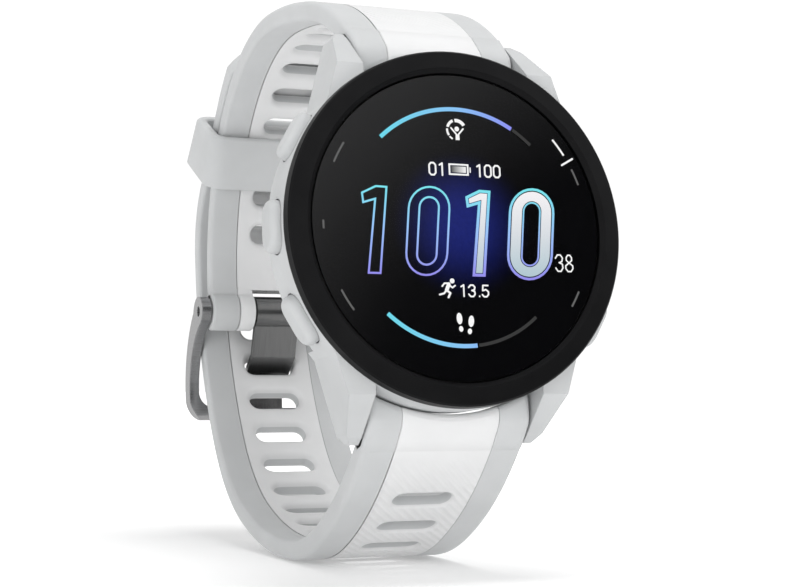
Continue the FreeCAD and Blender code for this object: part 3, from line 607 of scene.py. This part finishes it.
def slot_cell(builder, path, centre, half_pitch):
    """One stretch of the centre inlay with a soft-rimmed slot through it."""
    along = [-half_pitch + 2 * half_pitch * i / 6 for i in range(1, 6)]
    border = [(x, half_pitch) for x in ACROSS_INLAY]
    border += [(INLAY, -v) for v in along]
    border += [(x, -half_pitch) for x in reversed(ACROSS_INLAY)]
    border += [(-INLAY, v) for v in along]

    def ring(grow, out, blend=1.0):
        made = []
        for x, v in border:
            core = max(-SLOT_STRAIGHT, min(SLOT_STRAIGHT, x))
            reach = math.hypot(x - core, v)
            radius = SLOT_RADIUS + grow
            near = (core + (x - core) / reach * radius, v / reach * radius)
            px = x + (near[0] - x) * blend
            pv = v + (near[1] - v) * blend
            station = centre + pv
            made.append(builder.add(path.at(station, out, px), (px / 10, path.side * station / 10)))
        return made

    top = THICKNESS
    outer = [ring(0.5, top, 0.0), ring(0.28, top), ring(0.12, top - 0.05), ring(0.03, top - 0.17),
             ring(0.0, top - 0.4)]
    inner = [ring(0.0, 1.3), ring(0.07, 0.85), ring(0.25, 0.42), ring(0.52, 0.13), ring(0.9, 0.0),
             ring(0.9, 0.0, 0.0)]
    for one, two in zip(outer, outer[1:]):
        builder.bridge(one, two)
    builder.bridge(outer[-1], inner[0], kind=1)
    for one, two in zip(inner, inner[1:]):
        builder.bridge(one, two, kind=1 if one is inner[0] else 0)


def plain_stretch(builder, path, first, last):
    """Flat faces of the inlay where it has no slot."""
    for out in (THICKNESS, 0.0):
        rows = []
        for station in stations(first, last, 0.8):
            rows.append([
                builder.add(path.at(station, out, x), (x / 10, path.side * station / 10))
                for x in ACROSS_INLAY
            ])
        for one, two in zip(rows, rows[1:]):
            builder.bridge(one, two, closed=False)


def build_inlay(which):
    path = PATHS[which]
    pitch = SLOT_PITCH[which]
    last = BARREL_STATION - NOTCH_LENGTH if which == "upper" else path.length - TAIL_MARGIN
    builder = Builder()
    first_cell = FIRST_SLOT[which] - pitch / 2
    end_cell = first_cell + pitch * SLOT_COUNT[which]
    plain_stretch(builder, path, END_STRETCH, first_cell)
    for step in range(SLOT_COUNT[which]):
        slot_cell(builder, path, FIRST_SLOT[which] + pitch * step, pitch / 2)
    plain_stretch(builder, path, end_cell, last)
    strap_end(builder, path, -INLAY, INLAY, SEAM, SEAM)
    if which == "upper":
        barrel = arc_points((PIN[1], PIN[2]), BARREL_RADIUS, 0, 345, 23)
        for hand in (-1, 1):
            ends = sorted((hand * NOTCH, hand * INLAY))
            sweep(builder, path, last, BARREL_STATION,
                  lambda s: rounded(*ends, 0, THICKNESS, (0.3,) * 4))
            x_prism(builder, barrel, *ends)
    obj = mesh_piece(f"{which}_inlay_soft", builder.points, builder.faces,
                     [white_silicone, grey_silicone], "watch", builder.uvs, builder.kinds)
    layer = obj.data.attributes.new("outside", "FLOAT", "POINT")
    for index, (point, uv) in enumerate(zip(builder.points, builder.uvs)):
        station = abs(uv[1]) * 10
        base = Vector(path.at(station, 0, 0))
        outwards = Vector(path.at(station, 1, 0)) - base
        if station > END_STRETCH and (Vector(point) - base).dot(outwards) > THICKNESS - 0.02:
            layer.data[index].value = 1.0
    tidy_normals(obj)
    smoothed(obj, 40)
    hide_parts(f"{which}_strap_inlay")


def build_band(which):
    path = PATHS[which]
    builder = Builder()
    last = BARREL_STATION if which == "upper" else path.length - TAIL_MARGIN
    barrel = arc_points((PIN[1], PIN[2]), BARREL_RADIUS, 0, 345, 23)
    for hand in (-1, 1):
        sweep(
            builder, path, END_STRETCH, last,
            lambda s: rail_outline(hand, tail_half_width(s) if which == "lower" else HALF_WIDTH),
        )
        ends = sorted((hand * RAIL_INNER, hand * HALF_WIDTH))
        soft = (SOFT, SEAM) if hand < 0 else (SEAM, SOFT)
        strap_end(builder, path, *ends, *soft)
        if which == "upper":
            x_prism(builder, barrel, *ends)
    if which == "lower":
        sweep(builder, path, last, path.length, lambda s: full_outline(tail_half_width(s)), 0.4)
    obj = builder.piece(f"{which}_band_soft", grey_silicone, "watch")
    smoothed(obj, 45)
    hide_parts(f"{which}_strap")


# --- keeper --------------------------------------------------------------------------

KEEPER_STATION = 65.0
KEEPER_HALF_WIDTH = 12.4
KEEPER_WALL = 1.6
KEEPER_WRIST_LEVEL = -1.8
KEEPER_WRIST_WALL = 1.25
KEEPER_HEIGHT = 11.0
KEEPER_RADII = (2.6, 1.0)
KEEPER_HALF_LENGTH = 4.2
LONG_SIDE = 5.0


def keeper_top(along):
    """Outer face of the keeper's far side, which slopes along the strap."""
    return 9.8 + 0.33 * (along + 3.5)


def build_keeper():
    y, z, heading = PATHS["upper"].place(KEEPER_STATION)
    ahead = Vector((0, math.cos(heading), math.sin(heading)))
    out_way = Vector((0, -math.sin(heading), math.cos(heading)))
    origin = Vector((0, y, z))

    def loop(along_at, depth):
        """Rounded loop at a depth below the keeper's outer surface; ends slope with height."""
        share = depth / KEEPER_WALL
        half = KEEPER_HALF_WIDTH - depth
        low = KEEPER_WRIST_LEVEL + share * KEEPER_WRIST_WALL
        height = KEEPER_HEIGHT - low - depth
        radius = KEEPER_RADII[0] - (KEEPER_RADII[0] - KEEPER_RADII[1]) * share
        outline = rounded(-half, half, 0.0, height, (radius,) * 4, 6)
        ring = []
        for first, second in zip(outline, outline[1:] + outline[:1]):
            steps = 8 if math.dist(first, second) > LONG_SIDE else 1
            for i in range(steps):
                x = first[0] + (second[0] - first[0]) * i / steps
                level = (first[1] + (second[1] - first[1]) * i / steps) / height
                along = along_at(level)
                top = keeper_top(along) - depth
                bulge = 0.25 * (1 - (x / KEEPER_HALF_WIDTH) ** 2) * (2 * level - 1)
                ring.append((x, along, low + (top - low) * level + bulge))
        return ring

    def low_edge(inset):
        return lambda level: -KEEPER_HALF_LENGTH + 0.7 * level + inset

    def high_edge(inset):
        return lambda level: KEEPER_HALF_LENGTH + 0.8 * level - inset

    rim = [(0.0, 0.55), (0.1, 0.22), (0.38, 0.0)]
    section = [(low_edge(inset), depth) for inset, depth in rim]
    section += [(high_edge(inset), depth) for inset, depth in reversed(rim)]
    section += [(high_edge(inset), KEEPER_WALL - depth) for inset, depth in rim]
    section += [(low_edge(inset), KEEPER_WALL - depth) for inset, depth in reversed(rim)]
    builder = Builder()
    rings = []
    for edge, depth in section:
        ring = []
        for x, along, out in loop(edge, depth):
            point = origin + ahead * along + out_way * out + Vector((x, 0, 0))
            ring.append(builder.add(tuple(point), (x / 10, along / 10)))
        rings.append(ring)
    for one, two in zip(rings, rings[1:] + rings[:1]):
        builder.bridge(one, two)
    obj = builder.piece("keeper_soft", grey_silicone, "keeper")
    smoothed(obj, 50)
    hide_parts("keeper")


for strap in ("upper", "lower"):
    build_band(strap)
    build_inlay(strap)
build_keeper()

# --- display -------------------------------------------------------------------------

PRINT_LEVEL = -0.3
ART_LEVEL = -0.2
FACE_UP = (0, math.sin(FACE_TILT), math.cos(FACE_TILT))
FACE_UP_SHIFT = (WATCH @ Vector((0, 0, 0))).dot(Vector(FACE_UP))

ACROSS_DIAL = (1, 0, 0)
WHITE_LIGHT = (0.95, 0.95, 0.95)
PRINT_PAINTED_GLOW = (0.12, 0.12, 0.12)
DIM_LIGHT = (0.035, 0.035, 0.035)
CYAN = (0.19, 0.78, 0.85)
SKY = (0.25, 0.55, 0.9)
VIOLET = (0.30, 0.27, 0.85)


def face_lit(name, stops, low, high):
    """Glow whose colour runs up the dial between two heights in millimetres."""
    return lit(name, stops, FACE_UP, FACE_UP_SHIFT + low * MM, FACE_UP_SHIFT + high * MM)


white_glow = lit_evenly("white_glow", WHITE_LIGHT)
outline_glow = face_lit(
    "outline_glow", [(0, VIOLET), (0.5, (0.33, 0.55, 0.95)), (1, CYAN)], -6, 4.8,
)
digit_glow = face_lit(
    "digit_glow", [(0, (0.42, 0.56, 0.62)), (0.5, (0.68, 0.72, 0.76)), (1, (0.9, 0.88, 0.9))], -6, 4.5,
)
arc_glow = lit(
    "arc_glow", [(0, (0.15, 0.68, 0.82)), (0.55, SKY), (1, (0.27, 0.27, 0.9))],
    ACROSS_DIAL, -0.0095, 0.0078,
)
dim_glow = lit_evenly("dim_glow", DIM_LIGHT)
# Painted glow: the grey button labels are print made to shine as emission.
label_glow = lit_evenly("label_print_painted_glow", PRINT_PAINTED_GLOW)


def flat_piece(name, loops, material, level=ART_LEVEL):
    """Flat shape on the dial; the loops of each island are its outline and its holes."""
    builder = Builder()
    for island in loops:
        flat = [[Vector((x, y, 0)) for x, y in loop] for loop in island]
        offset = len(builder.points)
        for loop in flat:
            for corner in loop:
                builder.add((corner.x, corner.y, level))
        for triangle in tessellate_polygon(flat):
            builder.face([offset + i for i in triangle])
    mesh_piece(name, builder.points, builder.faces, material, "watch")


def disc(radius, centre=(0, 0), count=96):
    return [
        (centre[0] + radius * math.cos(2 * math.pi * i / count),
         centre[1] + radius * math.sin(2 * math.pi * i / count))
        for i in range(count)
    ]


def arc_band(radius, width, start, end, centre=(0, 0), count=48):
    """Part of a ring between two angles in degrees."""
    outer = arc_points(centre, radius + width / 2, start, end, count)
    inner = arc_points(centre, radius - width / 2, end, start, count)
    return [outer + inner]


def stroke(points, width):
    """Bar of even width with round ends along straight runs; one island per run."""
    islands = []
    for first, second in zip(points, points[1:]):
        angle = math.degrees(math.atan2(second[1] - first[1], second[0] - first[0]))
        islands.append([
            arc_points(second, width / 2, angle - 90, angle + 90, 8)
            + arc_points(first, width / 2, angle + 90, angle + 270, 8)
        ])
    return islands


def ellipse(centre, half_x, half_y, turn=0.0, count=28):
    made = []
    for i in range(count):
        angle = 2 * math.pi * i / count
        x = half_x * math.cos(angle)
        y = half_y * math.sin(angle)
        made.append((
            centre[0] + x * math.cos(turn) - y * math.sin(turn),
            centre[1] + x * math.sin(turn) + y * math.cos(turn),
        ))
    return made


def stadium(centre, half_x, half_y, lean=0.0, count=14):
    """Upright rounded bar, leaning by so many millimetres per millimetre of height."""
    straight = half_y - half_x
    top = arc_points((0, straight), half_x, 0, 180, count)
    bottom = arc_points((0, -straight), half_x, 180, 360, count)
    return [(centre[0] + x + lean * y, centre[1] + y) for x, y in top + bottom]


LEAN = 0.1


def big_one(left):
    """Outline of a large 1, anticlockwise from the foot's left corner."""
    return [
        (left + 0.5, -5.95), (left + 2.2, -5.95), (left + 3.4, 4.5), (left + 1.9, 4.55),
        (left + 0.05, 3.65), (left + 0.18, 2.3), (left + 1.65, 2.75),
    ]


def big_zero(centre_x):
    """Outer and inner outlines of a large 0."""
    middle = (centre_x, -0.65)
    return stadium(middle, 2.72, 5.4, LEAN), stadium(middle, 1.12, 3.93, LEAN)


def build_display():
    black = Shader("glass_print")
    black.bsdf.inputs["Base Color"].default_value = (0.002, 0.002, 0.0025, 1)
    smear = black.noise(120, 3.0)
    black.join(black.spread(smear, 0.07, 0.13), black.bsdf.inputs["Roughness"])
    black.bsdf.inputs["Specular IOR Level"].default_value = 0.42
    reach = black.node("ShaderNodeVectorMath", operation="DISTANCE")
    reach.inputs[1].default_value = WATCH @ Vector((0.3, 0.3, PRINT_LEVEL))
    black.join(black.position(), reach.inputs[0])
    glow = black.node("ShaderNodeMapRange", in_From_Min=0.0, in_From_Max=0.0098)
    glow.interpolation_type = "SMOOTHERSTEP"
    black.join(reach.outputs["Value"], glow.inputs["Value"])
    dots = black.noise(2600, 1.0)
    shade = black.ramp(glow.outputs["Result"], [(0, (0.012, 0.02, 0.19)), (1, (0.0, 0.0, 0.0))])
    black.join(shade, black.bsdf.inputs["Emission Color"])
    black.join(black.spread(dots, 0.62, 0.95), black.bsdf.inputs["Emission Strength"])
    flat_piece("display_picture", [[disc(18.4)]], black.material, PRINT_LEVEL)

    flat_piece("time_hours", [
        [big_one(-12.4), shrunk(big_one(-12.4), 0.24)],
        [big_zero(-4.1)[0], stadium((-4.1, -0.65), 2.48, 5.16, LEAN)],
        [stadium((-4.1, -0.65), 1.36, 4.17, LEAN), big_zero(-4.1)[1]],
    ], outline_glow)
    flat_piece("time_minutes_edge", [
        [big_one(0.85), shrunk(big_one(0.85), 0.34)],
        [stadium((9.33, -0.6), 3.05, 5.65, LEAN), stadium((9.33, -0.6), 2.75, 5.35, LEAN)],
        [stadium((9.33, -0.6), 1.2, 3.95, LEAN), stadium((9.33, -0.6), 1.0, 3.75, LEAN)],
    ], outline_glow)
    flat_piece("time_minutes", [
        [shrunk(big_one(0.85), 0.42)],
        [stadium((9.33, -0.6), 2.62, 5.22, LEAN), stadium((9.33, -0.6), 1.3, 4.05, LEAN)],
    ], digit_glow)

    flat_piece("top_arc", [arc_band(14.15, 0.5, 133.5, 59, (0.1, 0.1))], arc_glow)
    flat_piece("top_arc_rest", [arc_band(14.15, 0.4, 58.2, 46.5, (0.1, 0.1))], dim_glow)
    flat_piece("bottom_arc", [arc_band(14.25, 0.5, -132.3, -83.6)], arc_glow)
    flat_piece("bottom_arc_rest", [arc_band(14.25, 0.4, -82.8, -48.5)], dim_glow)


SEGMENTS = {
    "0": [[(0.28, 0.0), (0.72, 0.0), (1.0, 0.3), (1.0, 1.4), (0.72, 1.7), (0.28, 1.7), (0.0, 1.4),
           (0.0, 0.3), (0.28, 0.0)]],
    "1": [[(0.2, 1.45), (0.62, 1.7), (0.62, 0.0)]],
    "3": [[(0.0, 1.35), (0.3, 1.7), (0.72, 1.7), (1.0, 1.4), (0.9, 1.02), (0.5, 0.9), (0.95, 0.75),
           (1.0, 0.35), (0.72, 0.0), (0.28, 0.0), (0.0, 0.33)]],
    "5": [[(0.95, 1.7), (0.15, 1.7), (0.08, 0.92), (0.6, 1.08), (1.0, 0.75), (1.0, 0.35), (0.7, 0.0),
           (0.28, 0.0), (0.0, 0.3)]],
    "8": [[(0.5, 0.9), (0.12, 1.15), (0.12, 1.45), (0.35, 1.7), (0.65, 1.7), (0.88, 1.45), (0.88, 1.15),
           (0.5, 0.9), (0.0, 0.6), (0.0, 0.3), (0.28, 0.0), (0.72, 0.0), (1.0, 0.3), (1.0, 0.6),
           (0.5, 0.9)]],
    ".": [[(0.3, 0.02), (0.3, 0.06)]],
}
ADVANCE = {".": 0.75}


def small_number(name, text, left, base, height, width, material, line=0.2):
    """Small digits made of round-ended strokes."""
    islands = []
    for digit in text:
        for run in SEGMENTS[digit]:
            points = [(left + x * width, base + y * height / 1.7) for x, y in run]
            islands.extend(stroke(points, line))
        left += width * ADVANCE.get(digit, 1.42)
    flat_piece(name, islands, material)


def build_small_marks():
    small_number("date_number", "01", -3.6, 6.12, 1.45, 0.82, white_glow, 0.21)
    small_number("battery_number", "100", 2.45, 6.17, 1.42, 0.82, white_glow, 0.21)
    small_number("seconds", "38", 12.45, -5.05, 2.0, 0.95, white_glow, 0.17)
    small_number("pace_number", "13.5", -0.35, -8.35, 1.35, 0.8, white_glow, 0.19)
    frame_outer = [(-1.1, 6.2), (1.5, 6.2), (1.5, 7.6), (-1.1, 7.6)]
    frame_inner = [(-0.88, 6.4), (1.28, 6.4), (1.28, 7.4), (-0.88, 7.4)]
    charge = [[(-0.75, 6.53), (1.15, 6.53), (1.15, 7.27), (-0.75, 7.27)]]
    nub = [[(1.62, 6.58), (1.78, 6.58), (1.78, 7.22), (1.62, 7.22)]]
    flat_piece("battery_mark", [[frame_outer, frame_inner], nub], white_glow)
    charge_glow = lit(
        "charge_glow", [(0, (0.05, 0.05, 0.05)), (1, (0.85, 0.85, 0.85))], ACROSS_DIAL, -0.0008, 0.0010,
    )
    flat_piece("battery_charge", [charge], charge_glow)

    gauge = (0.15, 11.75)
    ring = []
    for start, end, width in ((30, 100, 0.42), (112, 165, 0.34), (175, 215, 0.26), (222, 245, 0.2)):
        outer = arc_points(gauge, 1.34, start, end, 14)
        inner = arc_points(gauge, 1.34 - width, end, start, 14)
        ring.append([outer + inner])
    person = [[disc(0.3, (0.2, 11.85), 20)]]
    person.append([[(0.0, 10.5), (0.52, 10.5), (0.5, 11.2), (0.02, 11.2)]])
    person += stroke([(0.12, 11.2), (-0.55, 11.95)], 0.2)
    person += stroke([(0.4, 11.2), (1.02, 11.9)], 0.2)
    flat_piece("ready_mark", ring + person, white_glow)

    runner = [[disc(0.3, (-1.3, -6.55), 20)]]
    for run, line in (
        ([(-1.75, -6.95), (-2.05, -7.65)], 0.46),
        ([(-1.75, -6.85), (-2.3, -6.85), (-2.6, -7.2)], 0.2),
        ([(-1.65, -7.1), (-1.3, -7.35), (-0.95, -7.1)], 0.2),
        ([(-2.0, -7.7), (-1.6, -8.0), (-1.85, -8.5)], 0.26),
        ([(-2.15, -7.75), (-2.4, -8.05), (-2.95, -8.2)], 0.22),
    ):
        runner += stroke(run, line)
    flat_piece("runner_mark", runner, white_glow)
    feet = [
        [ellipse((-0.58, -11.0), 0.36, 0.68, 0.06)], [ellipse((-0.42, -12.22), 0.27, 0.34, 0.15)],
        [ellipse((0.92, -11.3), 0.36, 0.68, -0.12)], [ellipse((0.68, -12.5), 0.27, 0.34, -0.2)],
    ]
    flat_piece("steps_mark", feet, white_glow)


LABEL_RADIUS = 17.1


def build_labels():
    """Plain marks on the glass border beside each button, in place of printed words; the print is a painted
    glow, not lit by the lamps.
    """
    for name, angle, spread in (
        ("light", 151, 4.6), ("up", 181, 1.7), ("down", 212, 4.6), ("back", -29.5, 3.6),
    ):
        islands = arc_band(LABEL_RADIUS, 0.24, angle - spread, angle + spread, (0, 0), 10)
        flat_piece(f"{name}_label", [islands], label_glow)
    # The start label and the start-stop line are print given the display's white emission: painted glow.
    for name, start, end in (("start", 33, 41), ("stop", 19.5, 26.5)):
        flat_piece(f"{name}_label", [arc_band(LABEL_RADIUS, 0.24, start, end, (0, 0), 10)],
                   white_glow if name == "start" else label_glow)
    direction = (math.cos(math.radians(30)), math.sin(math.radians(30)))
    inner = (16.2 * direction[0], 16.2 * direction[1])
    outer = (17.9 * direction[0], 17.9 * direction[1])
    flat_piece("start_stop_line", stroke([inner, outer], 0.24), white_glow)


build_display()
build_small_marks()
build_labels()

# --- materials of the CAD nodes ---------------------------------------------------------

FINISHES = {
    case_plastic: ["mid_case"],
    bezel_paint(): ["bezel"],
    clear_glass(): ["front_glass"],
    black_plastic: ["display_panel", "inner_frame", "charging_socket", "board_components"],
    black_rubber: ["glass_gasket", "back_gasket", "button_seals"],
    board_mask: ["main_board", "sensor_board"],
    film: ["display_ribbon", "button_flex"],
    brass: ["gps_antenna", "beeper", "charging_contacts"],
    foil: ["battery", "vibration_motor"],
    back_plastic: ["back_cover"],
    smoked: ["sensor_window"],
    epoxy: ["sensor_emitters"],
    steel: ["back_screws", "button_switches", "upper_bar_tube", "lower_bar_tube", "upper_bar_pin",
            "lower_bar_pin", "upper_bar_spring", "lower_bar_spring", "light_button_clip",
            "up_button_clip", "down_button_clip", "start_button_clip", "back_button_clip"],
    button_plastic: ["light_button", "up_button", "down_button", "start_button", "back_button"],
    dark_steel: ["buckle_frame", "buckle_pin"],
    tang_steel: ["buckle_tang"],
    grey_silicone: ["upper_strap", "lower_strap", "keeper"],
    white_silicone: ["upper_strap_inlay", "lower_strap_inlay"],
}
for material, names in FINISHES.items():
    for name in names:
        data = nodes[name].data
        data.materials.clear()
        data.materials.append(material)
        smoothed(nodes[name], 28)

# --- floor, light and camera --------------------------------------------------------------

FLOOR_DROP = 0.0002
WORLD_FILL = 0.63
WORLD_MIRRORED = 0.85
DARK_PATCH = (0.618, -0.055, 0.844)
DARK_PATCH_OUTER = math.radians(24.5)
DARK_PATCH_INNER = math.radians(17)


def build_floor():
    """Pale floor with a painted glow, weak near the watch and strong farther out, that fades into the white
    surroundings and keeps a soft shadow.
    """
    low = cad_size[0][2] - FLOOR_DROP
    mesh = bpy.data.meshes.new("floor")
    corners = [(-3, -3, low), (3, -3, low), (3, 6, low), (-3, 6, low)]
    mesh.from_pydata(corners, [], [(0, 1, 2, 3)])
    shader = Shader("floor_white")
    shader.bsdf.inputs["Base Color"].default_value = (0.88, 0.88, 0.88, 1)
    shader.bsdf.inputs["Roughness"].default_value = 1.0
    shader.bsdf.inputs["Specular IOR Level"].default_value = 0.0
    # Painted glow: the floor's emission rises with distance from the watch, dim where the lamps are near
    # and bright far away.
    shader.bsdf.inputs["Emission Color"].default_value = (1, 1, 1, 1)
    reach = shader.node("ShaderNodeVectorMath", operation="LENGTH")
    shader.join(shader.position(), reach.inputs[0])
    glow = shader.node("ShaderNodeMapRange", interpolation_type="SMOOTHSTEP")
    for name, value in (("From Min", 0.05), ("From Max", 0.3), ("To Min", 0.2), ("To Max", 0.68)):
        glow.inputs[name].default_value = value
    shader.join(reach.outputs["Value"], glow.inputs["Value"])
    shader.join(glow.outputs["Result"], shader.bsdf.inputs["Emission Strength"])
    mesh.materials.append(shader.material)
    floor = bpy.data.objects.new("floor", mesh)
    bpy.context.scene.collection.objects.link(floor)
    floor.visible_glossy = False


def build_world():
    """White surroundings with one darker patch, which the lower right of the glass mirrors."""
    world = bpy.data.worlds.new("studio")
    bpy.context.scene.world = world
    world.use_nodes = True
    tree = world.node_tree
    background = tree.nodes["Background"]
    coordinates = tree.nodes.new("ShaderNodeTexCoord")
    dot = tree.nodes.new("ShaderNodeVectorMath")
    dot.operation = "DOT_PRODUCT"
    patch = (WATCH.to_3x3() @ Vector(DARK_PATCH)).normalized()
    dot.inputs[1].default_value = patch
    tree.links.new(coordinates.outputs["Generated"], dot.inputs[0])
    level = tree.nodes.new("ShaderNodeMapRange")
    level.interpolation_type = "SMOOTHSTEP"
    level.inputs["From Min"].default_value = math.cos(DARK_PATCH_OUTER)
    level.inputs["From Max"].default_value = math.cos(DARK_PATCH_INNER)
    level.inputs["To Min"].default_value = 1.0
    level.inputs["To Max"].default_value = 0.02
    tree.links.new(dot.outputs["Value"], level.inputs["Value"])
    paths = tree.nodes.new("ShaderNodeLightPath")
    glossy = tree.nodes.new("ShaderNodeMapRange")
    glossy.inputs["To Min"].default_value = WORLD_FILL
    glossy.inputs["To Max"].default_value = WORLD_MIRRORED
    tree.links.new(paths.outputs["Is Glossy Ray"], glossy.inputs["Value"])
    fill = tree.nodes.new("ShaderNodeMath")
    fill.operation = "MULTIPLY"
    tree.links.new(level.outputs["Result"], fill.inputs[0])
    tree.links.new(glossy.outputs["Result"], fill.inputs[1])
    mix = tree.nodes.new("ShaderNodeMix")
    tree.links.new(paths.outputs["Is Camera Ray"], mix.inputs["Factor"])
    tree.links.new(fill.outputs["Value"], mix.inputs["A"])
    mix.inputs["B"].default_value = 1.05
    tree.links.new(mix.outputs["Result"], background.inputs["Strength"])
    background.inputs["Color"].default_value = (1, 1, 1, 1)


def area_light(name, place, target, size, power):
    data = bpy.data.lights.new(name, "AREA")
    data.shape = "DISK"
    data.size = size
    data.energy = power
    light = bpy.data.objects.new(name, data)
    light.location = place
    light.rotation_euler = (Vector(target) - Vector(place)).to_track_quat("-Z", "Y").to_euler()
    bpy.context.scene.collection.objects.link(light)
    light.visible_glossy = False


def build_camera():
    """Camera low in front of the left side, looking slightly up at the dial."""
    right = Vector((0.9278, -0.3730, 0.0))
    up = Vector((-0.0199, -0.0493, 0.9986))
    back = right.cross(up).normalized()
    up = back.cross(right).normalized()
    right.normalize()
    data = bpy.data.cameras.new("camera")
    data.lens = 79.2
    data.sensor_width = 36
    data.clip_start = 0.01
    data.clip_end = 50
    camera = bpy.data.objects.new("camera", data)
    camera.matrix_world = Matrix((
        (right.x, up.x, back.x, -0.08328),
        (right.y, up.y, back.y, -0.22657),
        (right.z, up.z, back.z, -0.01441),
        (0, 0, 0, 1),
    ))
    bpy.context.scene.collection.objects.link(camera)
    bpy.context.scene.camera = camera


build_floor()
build_world()
area_light("key", (0.06, -0.08, 0.6), (0, 0, 0), 0.32, 1.7)
area_light("low", (-0.4, -0.28, -0.01), (0, 0.02, 0), 0.4, 0.8)
area_light("front", (0.12, -0.6, 0.12), (0, 0, 0), 0.4, 0.9)
build_camera()
bpy.context.scene.view_settings.view_transform = "Standard"
